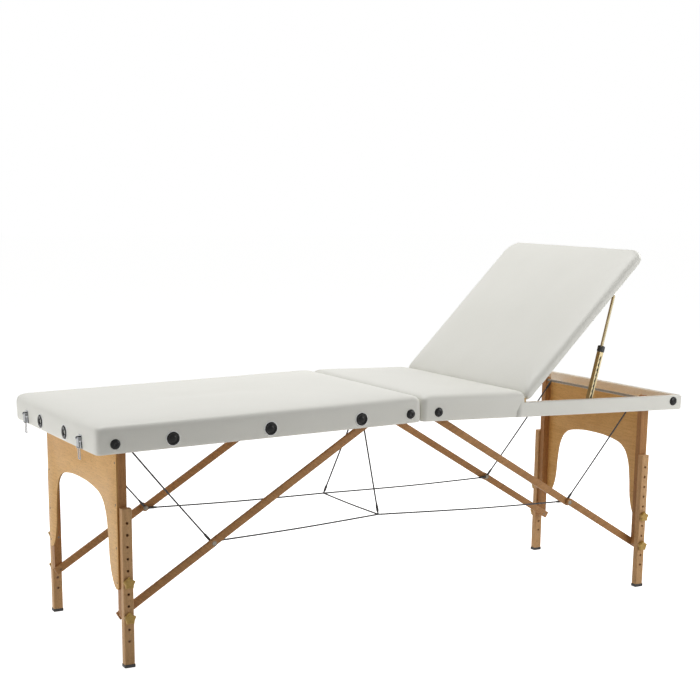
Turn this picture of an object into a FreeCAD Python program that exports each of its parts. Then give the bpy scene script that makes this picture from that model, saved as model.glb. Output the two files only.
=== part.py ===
import FreeCAD, Part
import math
import os

from FreeCAD import Vector

# Folding massage table: two hinged halves on folding leg frames, the head half with a tilting backrest.
# +X runs from the foot end to the head end, +Y to the far long side, +Z up, floor at Z = 0.
# Millimetres. Each half is drawn flat, with its rail bottoms at Z = 0, and then set at its place.

# Overall sizes
HALF_LENGTH = 935.0
HALF_WIDTH = 332.0
HINGE_HEIGHT = 580.0
HINGE_DROP = 7.0
CAMBER = 1.35
SEAM_GAP = 1.0

# Rails, decks and upholstery
RAIL_HEIGHT = {-1: 51.0, 1: 41.0}
RAIL_THICKNESS = 18.0
VINYL = 2.0
CORNER_RADIUS = 30.0
SEAM_CORNER_RADIUS = 16.0
FOOT_DECK = 4.0
SEAT_DECK = 12.0
PAD_EDGE_TOP = 71.0
PAD_CROWN = 5.0
SEAT_END = 348.0

# Leg frames: the foot frame is the wider one, so that the two pass each other when the table folds
LEG_AXIS_X = {-1: 846.0, 1: 848.0}
LEG_AXIS_Z = {-1: 33.0, 1: 24.0}
LEG_ROD_RADIUS = 4.0
EXTENSION_OUTER_Y = {-1: 298.0, 1: 277.0}
EXTENSION_WIDTH = 27.0
EXTENSION_THICKNESS = 20.0
EXTENSION_TOP = 418.0
CAP_HEIGHT = 9.0
PANEL_THICKNESS = 5.0
POST_WIDTH = 21.5
POST_THICKNESS = 20.2
POST_END_RISE = 3.0
SLIDE_GAP = 0.5
HOLE_PITCH = 31.0
HOLE_COUNT = 11
UPPER_KNOB_Z = 226.0
LOWER_KNOB_Z = 133.0
BOLT_RADIUS = 3.0
HOLE_RADIUS = 3.6
RUNNING_FIT = 0.08

# Arch of the plywood leg panels, from the middle outwards and down
ARCH_TOP_Z = 447.0
ARCH_SHOULDER_Y = 112.0
ARCH_SHOULDER_Z = 437.0
ARCH_CHEEK_Y = 178.0
ARCH_CHEEK_Z = 370.0
ARCH_WAIST_Y = 193.0
ARCH_WAIST_Z = 285.0
PANEL_FOOT_Z = 197.0
PANEL_TOP_Z = 583.0

# Star knobs
KNOB_RADIUS = 16.5
KNOB_VALLEY_RADIUS = 12.0
KNOB_POINTS = 5
KNOB_HEIGHT = 11.5
KNOB_THREAD = 8.0

# Diagonal braces, two links each side
LINK_WIDTH = 16.0
LINK_THICKNESS = 9.0
LINK_GAP = 0.4
BRACE_PIVOT_X = 60.0
BRACE_PIN_RADIUS = 4.0
BRACE_STUB = 14.0

# Backrest and its ratchet struts
BACKREST_AXIS_X = 354.0
BACKREST_AXIS_Z = 44.0
BACKREST_ANGLE = 45.0 + CAMBER
BACKREST_BOARD = 12.0
BACKREST_CORNER = 44.0
STRUT_Y = 299.0
STRUT_PIVOT_X = 594.0
STRUT_PIVOT_Z = 15.0
STRUT_PIN_FLAT_X = 790.0
STRUT_PIN_FLAT_Z = 27.0
CHANNEL_LENGTH = 166.0
CHANNEL_WIDTH = 15.0
CHANNEL_DEPTH = 13.0
CHANNEL_WALL = 1.5
TUBE_RADIUS = 4.5
TUBE_LENGTH = 178.0
TOOTH_PITCH = 16.0
TOOTH_COUNT = 8

# Fittings
BUMPER_X = (-885.0, -37.0, 52.0, 895.0)
PLUG_X = (-733.0, -461.0, -191.0)
FITTING_Z = 25.0
BUMPER_RADIUS = 13.0
PLUG_RADIUS = 17.0
SPIGOT_RADIUS = 9.0
FITTING_PROUD = 5.0
SOCKET_Y = 100.0
SOCKET_RADIUS = 18.0
SOCKET_BORE = 6.5
SOCKET_DEPTH = 32.0
LATCH_Y = 222.0

# Steel cables
CABLE_RADIUS = 1.6
JUNCTION = (-38.0, 166.0, 298.0)
APEX_HALF_Y = 11.0

FOOT = -1
HEAD = 1
ORIGIN = Vector(0, 0, 0)
ALONG_X = Vector(1, 0, 0)
ALONG_Y = Vector(0, 1, 0)
ALONG_Z = Vector(0, 0, 1)
END_NAME = {FOOT: "foot", HEAD: "head"}


def block(x0, x1, y0, y1, z0, z1):
    low = Vector(min(x0, x1), min(y0, y1), min(z0, z1))
    return Part.makeBox(abs(x1 - x0), abs(y1 - y0), abs(z1 - z0), low)


def rod_y(radius, y0, y1, x, z):
    return Part.makeCylinder(radius, abs(y1 - y0), Vector(x, min(y0, y1), z), ALONG_Y)


def rod_x(radius, x0, x1, y, z):
    return Part.makeCylinder(radius, abs(x1 - x0), Vector(min(x0, x1), y, z), ALONG_X)


def plate_xz(corners, y0, y1):
    """A flat plate with these (x, z) corners, standing between two Y planes."""
    points = [Vector(x, min(y0, y1), z) for x, z in corners]
    face = Part.Face(Part.makePolygon(points + points[:1]))
    return face.extrude(Vector(0, abs(y1 - y0), 0))


def mirrored(shape):
    return shape.mirror(ORIGIN, ALONG_Y)


def both_sides(shape):
    return [mirrored(shape), shape]


def joined(shapes):
    return shapes[0].fuse(shapes[1:]).removeSplitter()


def cut_all(shape, tools):
    return shape.cut(tools) if tools else shape


def rounded_outline(x0, x1, half_width, radius_low, radius_high, z):
    """A rectangle with one corner radius at its low X end and another at its high X end."""
    def corner(cx, cy, radius, start):
        circle = Part.Circle(Vector(cx, cy, z), ALONG_Z, radius)
        return Part.Arc(circle, math.radians(start), math.radians(start + 90))

    arcs = [
        corner(x1 - radius_high, half_width - radius_high, radius_high, 0),
        corner(x0 + radius_low, half_width - radius_low, radius_low, 90),
        corner(x0 + radius_low, radius_low - half_width, radius_low, 180),
        corner(x1 - radius_high, radius_high - half_width, radius_high, 270),
    ]
    edges = []
    for arc, following in zip(arcs, arcs[1:] + arcs[:1]):
        edges.append(arc.toShape())
        edges.append(Part.LineSegment(arc.EndPoint, following.StartPoint).toShape())
    return Part.Wire(edges)


def rounded_prism(x0, x1, half_width, radius_low, radius_high, z0, z1):
    face = Part.Face(rounded_outline(x0, x1, half_width, radius_low, radius_high, z0))
    return face.extrude(Vector(0, 0, z1 - z0))


def crowned_pad(x0, x1, half_width, radius_low, radius_high, bottom, edge_top, slope_low=0.0):
    """An upholstered pad: upright sides, a rolled top edge and a crown that rises to the middle."""
    height = edge_top - bottom
    steps = [
        (0.0, bottom, 0.0),
        (0.0, bottom + 0.38 * height, 0.35),
        (2.5, bottom + 0.64 * height, 0.62),
        (7.5, bottom + 0.86 * height, 0.86),
        (17.0, edge_top, 1.0),
        (60.0, edge_top + 0.62 * PAD_CROWN, 1.0),
        (150.0, edge_top + PAD_CROWN, 1.0),
    ]
    wires = []
    for inset, z, share in steps:
        inset = min(inset, 0.3 * (x1 - x0) * inset / 150.0) if inset > 20.0 else inset
        low = x0 + inset + slope_low * share
        high = x1 - inset
        wires.append(rounded_outline(low, high, half_width - inset, radius_low + 0.1 * inset,
                                     radius_high + 0.1 * inset, z))
    return Part.makeLoft(wires, True, True)


def set_half(shape, side):
    """Lifts a flat-drawn piece to the hinge and tilts it to the table's camber."""
    placed = shape.copy()
    placed.translate(Vector(0, 0, HINGE_HEIGHT + HINGE_DROP))
    placed.rotate(Vector(0, 0, HINGE_HEIGHT), ALONG_Y, side * CAMBER)
    return placed


def half_point(side, x, z):
    """Where a point of a flat-drawn half ends up, as (x, z)."""
    angle = math.radians(side * CAMBER)
    up = z + HINGE_DROP
    return (x * math.cos(angle) + up * math.sin(angle),
            HINGE_HEIGHT - x * math.sin(angle) + up * math.cos(angle))


def save(name, shapes):
    whole = shapes[0] if len(shapes) == 1 else Part.makeCompound(shapes)
    if not whole.isValid():
        print("not valid:", name)
    whole.exportStep("parts/" + name + ".step")


def save_half(name, shapes, side):
    save(name, [set_half(shape, side) for shape in shapes])


os.makedirs("parts", exist_ok=True)

INNER_RAIL_Y = HALF_WIDTH - VINYL - RAIL_THICKNESS


# Frames of the two halves: pine rails under a vinyl cover

def end_span(side):
    """Lowest and highest X of a half, with the corner radii that go with them."""
    if side == FOOT:
        return -HALF_LENGTH, -SEAM_GAP, CORNER_RADIUS, SEAM_CORNER_RADIUS
    return SEAM_GAP, HALF_LENGTH, SEAM_CORNER_RADIUS, CORNER_RADIUS


def frame_outline(side, inset, z0, z1):
    low, high, radius_low, radius_high = end_span(side)
    return rounded_prism(low + inset, high - inset, HALF_WIDTH - inset,
                         radius_low - inset, radius_high - inset, z0, z1)


def side_spigots(places):
    """Holes or spigots through both side rails at these X places."""
    return [rod_y(SPIGOT_RADIUS, side * (INNER_RAIL_Y - 1), side * (HALF_WIDTH + 1), x, FITTING_Z)
            for x in places for side in (-1, 1)]


def end_spigots():
    outer = -HALF_LENGTH - 1
    return [rod_x(SPIGOT_RADIUS, outer, outer + VINYL + RAIL_THICKNESS + 8, side * SOCKET_Y, FITTING_Z)
            for side in (-1, 1)]


def side_rails(side):
    outline = frame_outline(side, VINYL, 0, RAIL_HEIGHT[side])
    rails = []
    for face in (-1, 1):
        strip = block(-HALF_LENGTH, HALF_LENGTH, face * INNER_RAIL_Y, face * HALF_WIDTH, 0, RAIL_HEIGHT[side])
        rail = outline.common(strip)
        rails.append(cut_all(rail, side_spigots(PLUG_X) if side == FOOT else []))
    return rails


def cross_rails(side):
    outline = frame_outline(side, VINYL, 0, RAIL_HEIGHT[side])
    low, high, _, _ = end_span(side)
    rails = []
    for start in (low + VINYL, high - VINYL - RAIL_THICKNESS):
        strip = block(start, start + RAIL_THICKNESS, -INNER_RAIL_Y, INNER_RAIL_Y, 0, RAIL_HEIGHT[side])
        rails.append(cut_all(outline.common(strip), end_spigots() if side == FOOT else []))
    return rails


def foot_cover():
    top = RAIL_HEIGHT[FOOT] + FOOT_DECK
    skin = frame_outline(FOOT, 0, 0, top)
    skin = skin.cut(frame_outline(FOOT, VINYL, -1, top + 1))
    return skin.cut(side_spigots(PLUG_X) + end_spigots())


def head_cover():
    rail_top = RAIL_HEIGHT[HEAD]
    skin = frame_outline(HEAD, 0, 0, rail_top + SEAT_DECK)
    skin = skin.cut(frame_outline(HEAD, VINYL, -1, rail_top + SEAT_DECK + 1))
    above_rails = block(SEAT_END, HALF_LENGTH + 1, -HALF_WIDTH, HALF_WIDTH, rail_top, rail_top + SEAT_DECK + 1)
    return skin.cut(above_rails)


for half in (FOOT, HEAD):
    save_half(END_NAME[half] + "_side_rails", side_rails(half), half)
    save_half(END_NAME[half] + "_cross_rails", cross_rails(half), half)

save_half("foot_rail_cover", [foot_cover()], FOOT)
save_half("head_rail_cover", [head_cover()], HEAD)
FOOT_DECK_TOP = RAIL_HEIGHT[FOOT] + FOOT_DECK
SEAT_DECK_TOP = RAIL_HEIGHT[HEAD] + SEAT_DECK
save_half("foot_deck", [frame_outline(FOOT, VINYL, RAIL_HEIGHT[FOOT], FOOT_DECK_TOP)], FOOT)
seat_board = frame_outline(HEAD, VINYL, RAIL_HEIGHT[HEAD], SEAT_DECK_TOP)
seat_board = seat_board.common(block(0, SEAT_END, -HALF_WIDTH, HALF_WIDTH, 0, 100))
save_half("seat_deck", [seat_board], HEAD)


# Pads: foam under vinyl, crowned, with the seat's end rolled down beside the backrest

foot_pad = crowned_pad(-HALF_LENGTH, -SEAM_GAP, HALF_WIDTH, CORNER_RADIUS, SEAM_CORNER_RADIUS,
                       FOOT_DECK_TOP, PAD_EDGE_TOP)
save_half("foot_pad", [foot_pad], FOOT)
seat_pad = crowned_pad(SEAM_GAP, SEAT_END - 2, HALF_WIDTH, SEAM_CORNER_RADIUS, SEAM_CORNER_RADIUS,
                       SEAT_DECK_TOP, PAD_EDGE_TOP)
save_half("seat_pad", [seat_pad], HEAD)


# Centre hinges under the two middle rails

HINGE_SPACING = 150.0
HINGE_LEAF = 2.5
HINGE_KNUCKLE = 4.5
HINGE_PIN = 2.4
HINGE_MIDDLE = 15.0
HINGE_END = 30.0
HINGE_PLAY = 0.4
LEAF_ROOT = 6.0
LEAF_END = 21.0


def hinge_leaf(side, spans, y_middle):
    """One leaf with its knuckles, screwed under a middle rail."""
    axis_z = -HINGE_DROP
    solids = [block(side * LEAF_ROOT, side * LEAF_END, y_middle - HINGE_END, y_middle + HINGE_END, -HINGE_LEAF, 0)]
    for start, end in spans:
        solids.append(rod_y(HINGE_KNUCKLE, y_middle + start, y_middle + end, 0, axis_z))
        solids.append(block(side * 1.5, side * (LEAF_ROOT + 1), y_middle + start, y_middle + end, -HINGE_LEAF - 1, 0))
    leaf = joined(solids)
    bore = rod_y(HINGE_PIN + RUNNING_FIT, y_middle - HINGE_END - 1, y_middle + HINGE_END + 1, 0, axis_z)
    return leaf.cut(bore)


foot_leaves = []
head_leaves = []
for y_hinge in (-HINGE_SPACING, HINGE_SPACING):
    foot_leaves.append(hinge_leaf(FOOT, [(-HINGE_MIDDLE, HINGE_MIDDLE)], y_hinge))
    outer_spans = [(-HINGE_END, -HINGE_MIDDLE - HINGE_PLAY), (HINGE_MIDDLE + HINGE_PLAY, HINGE_END)]
    head_leaves.append(hinge_leaf(HEAD, outer_spans, y_hinge))
    head_leaves.append(rod_y(HINGE_PIN, y_hinge - HINGE_END, y_hinge + HINGE_END, 0, -HINGE_DROP))
save_half("foot_center_hinges", foot_leaves, FOOT)
save_half("head_center_hinges", head_leaves, HEAD)


# Leg frames: plywood arch panel, two posts, cross bolts for the knobs

def leg_axis(side):
    """Where the pivot rod of a leg frame runs, as (x, z)."""
    return half_point(side, side * LEG_AXIS_X[side], LEG_AXIS_Z[side])


def leg_middle(side):
    """X of the middle of an extension leg, straight below the pivot rod."""
    return leg_axis(side)[0]


def leg_faces(side):
    """X of an extension leg's inner and outer face. The posts share the outer one."""
    middle = leg_middle(side)
    return middle - side * EXTENSION_WIDTH / 2, middle + side * EXTENSION_WIDTH / 2


def post_planes(side):
    outer = EXTENSION_OUTER_Y[side] - EXTENSION_THICKNESS - SLIDE_GAP
    return outer - POST_THICKNESS, outer


def leg_post(side):
    """A post with a round head at the pivot rod and a round end below the lower bolt."""
    _, outer_x = leg_faces(side)
    inner_x = outer_x - side * POST_WIDTH
    axis_x, axis_z = leg_axis(side)
    near_y, far_y = post_planes(side)
    middle_x = (inner_x + outer_x) / 2
    foot_z = LOWER_KNOB_Z + POST_END_RISE
    shaft = block(inner_x, outer_x, near_y, far_y, foot_z, axis_z)
    ends = [rod_y(POST_WIDTH / 2, near_y, far_y, middle_x, z) for z in (axis_z, foot_z)]
    post = joined([shaft] + ends)
    holes = [rod_y(LEG_ROD_RADIUS + RUNNING_FIT, near_y - 1, far_y + 1, axis_x, axis_z)]
    for z in (UPPER_KNOB_Z, LOWER_KNOB_Z):
        holes.append(rod_y(BOLT_RADIUS, near_y - 1, far_y + 1, leg_middle(side), z))
    return post.cut(holes)


def leg_panel(side):
    """The plywood end panel on the posts: straight sides, an arch between two tapering feet."""
    _, post_x = leg_faces(side)
    edge_y = post_planes(side)[1]

    def at(y, z):
        return Vector(post_x, y, z)

    def arc(first, middle, last):
        return Part.Arc(at(*first), at(*middle), at(*last)).toShape()

    def line(first, last):
        return Part.LineSegment(at(*first), at(*last)).toShape()

    flare = (0.5 * (edge_y + ARCH_WAIST_Y) - 12.0, 0.5 * (PANEL_FOOT_Z + ARCH_WAIST_Z) - 14.0)
    shoulder = (0.5 * (ARCH_SHOULDER_Y + ARCH_CHEEK_Y) + 15.0, 0.5 * (ARCH_SHOULDER_Z + ARCH_CHEEK_Z) + 14.0)
    edges = []
    for sign in (1, -1):
        tip = (sign * edge_y, PANEL_FOOT_Z)
        waist = (sign * ARCH_WAIST_Y, ARCH_WAIST_Z)
        cheek = (sign * ARCH_CHEEK_Y, ARCH_CHEEK_Z)
        neck = (sign * ARCH_SHOULDER_Y, ARCH_SHOULDER_Z)
        edges.append(line((sign * edge_y, PANEL_TOP_Z), tip))
        edges.append(arc(tip, (sign * flare[0], flare[1]), waist))
        edges.append(line(waist, cheek))
        edges.append(arc(cheek, (sign * shoulder[0], shoulder[1]), neck))
    edges.append(arc((ARCH_SHOULDER_Y, ARCH_SHOULDER_Z), (0, ARCH_TOP_Z), (-ARCH_SHOULDER_Y, ARCH_SHOULDER_Z)))
    edges.append(line((edge_y, PANEL_TOP_Z), (-edge_y, PANEL_TOP_Z)))
    outline = Part.Wire(Part.__sortEdges__(edges))
    return Part.Face(outline).extrude(Vector(side * PANEL_THICKNESS, 0, 0))


def link_planes(side):
    """Y planes of the lower link, beside the post, and of the upper link inside it."""
    post_inner = post_planes(side)[0]
    lower = (post_inner - LINK_GAP - LINK_THICKNESS, post_inner - LINK_GAP)
    upper = (lower[0] - LINK_GAP - LINK_THICKNESS, lower[0] - LINK_GAP)
    return lower, upper


def leg_bolts(side):
    """Bolts sunk flush in the wood inside, with the knobs on their threads outside."""
    bolts = []
    knob_end = EXTENSION_OUTER_Y[side] + KNOB_THREAD
    starts = {UPPER_KNOB_Z: post_planes(side)[0], LOWER_KNOB_Z: link_planes(side)[0][0]}
    for z, start in starts.items():
        bolts += both_sides(rod_y(BOLT_RADIUS, start, knob_end, leg_middle(side), z))
    return bolts


for half in (FOOT, HEAD):
    save(END_NAME[half] + "_posts", both_sides(leg_post(half)))
    save(END_NAME[half] + "_leg_panel", [leg_panel(half)])
    save(END_NAME[half] + "_leg_bolts", leg_bolts(half))


# Extension legs with a row of holes, rubber foot caps and star knobs

EXTENSION_CHAMFER = 1.5


def extension_leg(side):
    inner_x, outer_x = leg_faces(side)
    outer_y = EXTENSION_OUTER_Y[side]
    bar = block(inner_x, outer_x, outer_y - EXTENSION_THICKNESS, outer_y, CAP_HEIGHT, EXTENSION_TOP)
    long_edges = [edge for edge in bar.Edges if abs(edge.tangentAt(edge.FirstParameter).z) > 0.99]
    bar = bar.makeChamfer(EXTENSION_CHAMFER, long_edges)
    top_hole = UPPER_KNOB_Z + 5 * HOLE_PITCH
    holes = [rod_y(HOLE_RADIUS, outer_y - EXTENSION_THICKNESS - 1, outer_y + 1, leg_middle(side), top_hole - i * HOLE_PITCH)
             for i in range(HOLE_COUNT)]
    return bar.cut(holes)


def foot_cap(side):
    """A black rubber tip, a little wider at the floor than the leg that it caps."""
    inner_x, outer_x = leg_faces(side)
    outer_y = EXTENSION_OUTER_Y[side]
    low = block(inner_x - side * 0.8, outer_x + side * 0.8, outer_y - EXTENSION_THICKNESS, outer_y + 0.8, 0, CAP_HEIGHT)
    bottom_edges = [edge for edge in low.Edges if edge.BoundBox.ZMax < 0.01]
    return low.makeChamfer(1.2, bottom_edges)


def star_knob(side, z):
    """A five-pointed star grip on a round hub, bored for the bolt."""
    outer_y = EXTENSION_OUTER_Y[side] + SLIDE_GAP
    x_middle = leg_middle(side)
    corners = []
    for i in range(2 * KNOB_POINTS):
        radius = KNOB_RADIUS if i % 2 == 0 else KNOB_VALLEY_RADIUS
        angle = math.pi * i / KNOB_POINTS
        corners.append((x_middle + radius * math.sin(angle), z + radius * math.cos(angle)))
    star = plate_xz(corners, outer_y + 2.0, outer_y + KNOB_HEIGHT)
    front = [edge for edge in star.Edges if edge.BoundBox.YMin > outer_y + KNOB_HEIGHT - 0.01]
    star = star.makeChamfer(1.5, front)
    hub = rod_y(8.5, outer_y, outer_y + 3.0, x_middle, z)
    bore = rod_y(BOLT_RADIUS + RUNNING_FIT, outer_y - 1, EXTENSION_OUTER_Y[side] + KNOB_THREAD + 0.5, x_middle, z)
    return joined([star, hub]).cut(bore)


for half in (FOOT, HEAD):
    for near, word in ((True, "near"), (False, "far")):
        tail = "_" + END_NAME[half] + "_" + word
        pieces = {
            "extension" + tail: extension_leg(half),
            "foot_cap" + tail: foot_cap(half),
            "knob" + tail + "_upper": star_knob(half, UPPER_KNOB_Z),
            "knob" + tail + "_lower": star_knob(half, LOWER_KNOB_Z),
        }
        for name, piece in pieces.items():
            save(name, [mirrored(piece) if near else piece])


# Braces: an upper link on the half and a lower link on the leg, straight in line when the table stands

def brace_points(side):
    """Frame pivot, leg pivot and elbow, as (x, z). The links fold flat one over the other."""
    frame_pivot = half_point(side, side * BRACE_PIVOT_X, LEG_AXIS_Z[side])
    leg_pivot = (leg_middle(side), LOWER_KNOB_Z)
    open_span = math.dist(frame_pivot, leg_pivot)
    folded_span = LEG_AXIS_X[side] - (leg_axis(side)[1] - LOWER_KNOB_Z) - BRACE_PIVOT_X
    upper_length = (open_span + folded_span) / 2
    share = upper_length / open_span
    elbow = tuple(a + share * (b - a) for a, b in zip(frame_pivot, leg_pivot))
    return frame_pivot, leg_pivot, elbow


def link(first, last, y0, y1, first_hole, last_hole=0.0, stub=0.0):
    """A wooden bar between two pivots. A stub gives it a square end past the first pivot."""
    length = math.dist(first, last)
    along = ((last[0] - first[0]) / length, (last[1] - first[1]) / length)
    start = (first[0] - stub * along[0], first[1] - stub * along[1])
    half = LINK_WIDTH / 2
    across = (-along[1] * half, along[0] * half)
    corners = [(start[0] + across[0], start[1] + across[1]), (last[0] + across[0], last[1] + across[1]),
               (last[0] - across[0], last[1] - across[1]), (start[0] - across[0], start[1] - across[1])]
    pieces = [plate_xz(corners, y0, y1), rod_y(half, y0, y1, *last)]
    if not stub:
        pieces.append(rod_y(half, y0, y1, *first))
    bar = joined(pieces).cut(rod_y(first_hole, y0 - 1, y1 + 1, *first))
    return bar.cut(rod_y(last_hole, y0 - 1, y1 + 1, *last)) if last_hole else bar


CHEEK = 2.5
CHEEK_PLAY = 0.4
CHEEK_RADIUS = 8.0


def brace_bracket(side):
    """A steel fork on the middle rail that holds the upper link on a pin, drawn flat."""
    near_y, far_y = link_planes(side)[1]
    rail_face = SEAM_GAP + VINYL + RAIL_THICKNESS
    pivot_x = side * BRACE_PIVOT_X
    pivot_z = LEG_AXIS_Z[side]
    cheeks = []
    for start in (near_y - CHEEK_PLAY - CHEEK, far_y + CHEEK_PLAY):
        ear = block(side * rail_face, pivot_x, start, start + CHEEK, pivot_z - CHEEK_RADIUS, pivot_z + CHEEK_RADIUS)
        cheeks += [ear, rod_y(CHEEK_RADIUS, start, start + CHEEK, pivot_x, pivot_z)]
    base = block(side * rail_face, side * (rail_face + CHEEK), near_y - 14, far_y + 14, pivot_z - 14, pivot_z + 14)
    pin = rod_y(BRACE_PIN_RADIUS, near_y - CHEEK_PLAY - CHEEK, far_y + CHEEK_PLAY + CHEEK, pivot_x, pivot_z)
    return joined(cheeks + [base, pin])


ELBOW_PIN = 3.0
ELBOW_STUD = 8.4
ELBOW_HEAD_RADIUS = 5.0
ELBOW_HEAD = 1.6


def elbow_bolt(side):
    """The elbow's bolt through the upper link, with a stud inside that carries the cable eyes."""
    near_y, far_y = link_planes(side)[1]
    _, _, elbow = brace_points(side)
    shank = rod_y(ELBOW_PIN, near_y - ELBOW_STUD - 0.5, far_y, *elbow)
    head = rod_y(ELBOW_HEAD_RADIUS, near_y - ELBOW_STUD - ELBOW_HEAD, near_y - ELBOW_STUD, *elbow)
    return joined([shank, head])


def leg_rod(side):
    return rod_y(LEG_ROD_RADIUS, -INNER_RAIL_Y, INNER_RAIL_Y, side * LEG_AXIS_X[side], LEG_AXIS_Z[side])


for half in (FOOT, HEAD):
    top, low, bend = brace_points(half)
    lower_planes, upper_planes = link_planes(half)
    upper_link = link(top, bend, *upper_planes, BRACE_PIN_RADIUS + RUNNING_FIT, ELBOW_PIN)
    lower_link = link(low, bend, *lower_planes, BOLT_RADIUS + RUNNING_FIT, stub=BRACE_STUB)
    save(END_NAME[half] + "_upper_braces", both_sides(upper_link))
    save(END_NAME[half] + "_lower_braces", both_sides(lower_link))
    save(END_NAME[half] + "_elbow_bolts", both_sides(elbow_bolt(half)))

STAPLE_X = -12.0
STAPLE_Z = -4.0
staple = block(STAPLE_X - 4, STAPLE_X + 4, -7, 7, 2 * STAPLE_Z + 0.5, 0)
staple = staple.cut(rod_y(CABLE_RADIUS + 0.1, -8, 8, STAPLE_X, STAPLE_Z))
save_half("foot_frame_fittings", both_sides(brace_bracket(FOOT)) + [leg_rod(FOOT), staple], FOOT)


# Backrest: board, pad, butt hinges and the top forks of its struts, drawn flat and then raised

def raise_backrest(shape):
    raised = shape.copy()
    raised.rotate(Vector(BACKREST_AXIS_X, 0, BACKREST_AXIS_Z), ALONG_Y, -BACKREST_ANGLE)
    return raised


BOARD_BOTTOM = RAIL_HEIGHT[HEAD] + 1.0
BOARD_TOP = BOARD_BOTTOM + BACKREST_BOARD
BOARD_START = BACKREST_AXIS_X + 6.0
PAD_START = BACKREST_AXIS_X + 4.0
BACKREST_END = HALF_LENGTH - 2.0
BACKREST_HALF_WIDTH = HALF_WIDTH - 2.0

board = rounded_prism(BOARD_START, BACKREST_END - 6, BACKREST_HALF_WIDTH - 6, 8, BACKREST_CORNER - 6,
                      BOARD_BOTTOM, BOARD_TOP)
back_pad = crowned_pad(PAD_START, BACKREST_END, BACKREST_HALF_WIDTH, SEAM_CORNER_RADIUS, BACKREST_CORNER,
                       BOARD_TOP, PAD_EDGE_TOP + 1, slope_low=14.0)
save_half("backrest_board", [raise_backrest(board)], HEAD)
save_half("backrest_pad", [raise_backrest(back_pad)], HEAD)

BUTT_HINGE_Y = 150.0
BUTT_KNUCKLE = 4.0
BUTT_PIN = 2.0
BUTT_MIDDLE = 12.0
BUTT_END = 25.0


def butt_leaf(direction, plate_z, spans, y_middle):
    """A hinge leaf that reaches away from the backrest axis along X, with its knuckles."""
    axis_x = BACKREST_AXIS_X
    axis_z = BACKREST_AXIS_Z
    root = axis_x + direction * 6.0
    end = axis_x + direction * 34.0
    solids = [block(root, end, y_middle - BUTT_END, y_middle + BUTT_END, plate_z - 2.5, plate_z)]
    for start, stop in spans:
        solids.append(rod_y(BUTT_KNUCKLE, y_middle + start, y_middle + stop, axis_x, axis_z))
        solids.append(block(axis_x + direction * 1.0, root + direction * 1.0, y_middle + start, y_middle + stop,
                            plate_z - 2.5, plate_z))
    leaf = joined(solids)
    return leaf.cut(rod_y(BUTT_PIN + RUNNING_FIT, y_middle - BUTT_END - 1, y_middle + BUTT_END + 1, axis_x, axis_z))


def strut_fork():
    """Two cheeks under the backrest board that the head of a strut comes up between, drawn flat."""
    base = block(STRUT_PIN_FLAT_X - 16, STRUT_PIN_FLAT_X + 20, STRUT_Y - 9.5, STRUT_Y + 9.5, BOARD_BOTTOM - 2.5, BOARD_BOTTOM)
    solids = [base]
    for start in (STRUT_Y - 8.5, STRUT_Y + 6.5):
        solids.append(block(STRUT_PIN_FLAT_X - 7, STRUT_PIN_FLAT_X + 7, start, start + 2.0, STRUT_PIN_FLAT_Z, BOARD_BOTTOM))
        solids.append(rod_y(7.0, start, start + 2.0, STRUT_PIN_FLAT_X, STRUT_PIN_FLAT_Z))
    return joined(solids)


def strut_stud():
    """The steel stud on a side rail that the foot of a strut turns on, with its washer."""
    stud = rod_y(4.0, STRUT_Y - 8.4, INNER_RAIL_Y, STRUT_PIVOT_X, STRUT_PIVOT_Z)
    washer = rod_y(9.0, INNER_RAIL_Y - 3.0, INNER_RAIL_Y, STRUT_PIVOT_X, STRUT_PIVOT_Z)
    return joined([stud, washer])


fixed_fittings = both_sides(brace_bracket(HEAD)) + both_sides(strut_stud()) + [leg_rod(HEAD)]
moving_fittings = both_sides(strut_fork())
for y_hinge in (-BUTT_HINGE_Y, BUTT_HINGE_Y):
    middle_span = [(-BUTT_MIDDLE, BUTT_MIDDLE)]
    end_spans = [(-BUTT_END, -BUTT_MIDDLE - 0.4), (BUTT_MIDDLE + 0.4, BUTT_END)]
    fixed_fittings.append(butt_leaf(-1, RAIL_HEIGHT[HEAD], end_spans, y_hinge))
    fixed_fittings.append(rod_y(BUTT_PIN, y_hinge - BUTT_END, y_hinge + BUTT_END, BACKREST_AXIS_X, BACKREST_AXIS_Z))
    moving_fittings.append(butt_leaf(1, BOARD_BOTTOM, middle_span, y_hinge))
save_half("head_frame_fittings", fixed_fittings, HEAD)
save_half("backrest_fittings", [raise_backrest(piece) for piece in moving_fittings], HEAD)


# Ratchet struts: a slotted channel on the rail and a tube that telescopes out of it

def strut_pin_raised():
    """The strut's top pin with the backrest raised, in the flat-drawn head half."""
    angle = math.radians(BACKREST_ANGLE)
    dx = STRUT_PIN_FLAT_X - BACKREST_AXIS_X
    dz = STRUT_PIN_FLAT_Z - BACKREST_AXIS_Z
    return (BACKREST_AXIS_X + dx * math.cos(angle) - dz * math.sin(angle),
            BACKREST_AXIS_Z + dx * math.sin(angle) + dz * math.cos(angle))


PIN_X, PIN_Z = strut_pin_raised()
STRUT_LENGTH = math.dist((PIN_X, PIN_Z), (STRUT_PIVOT_X, STRUT_PIVOT_Z))
STRUT_ANGLE = math.degrees(math.atan2(PIN_Z - STRUT_PIVOT_Z, PIN_X - STRUT_PIVOT_X))


def stand_strut(shape):
    """Turns a strut piece, drawn along +X from its foot pivot, up to its place."""
    stood = shape.copy()
    stood.translate(Vector(STRUT_PIVOT_X, STRUT_Y, STRUT_PIVOT_Z))
    stood.rotate(Vector(STRUT_PIVOT_X, 0, STRUT_PIVOT_Z), ALONG_Y, -STRUT_ANGLE)
    return stood


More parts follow.
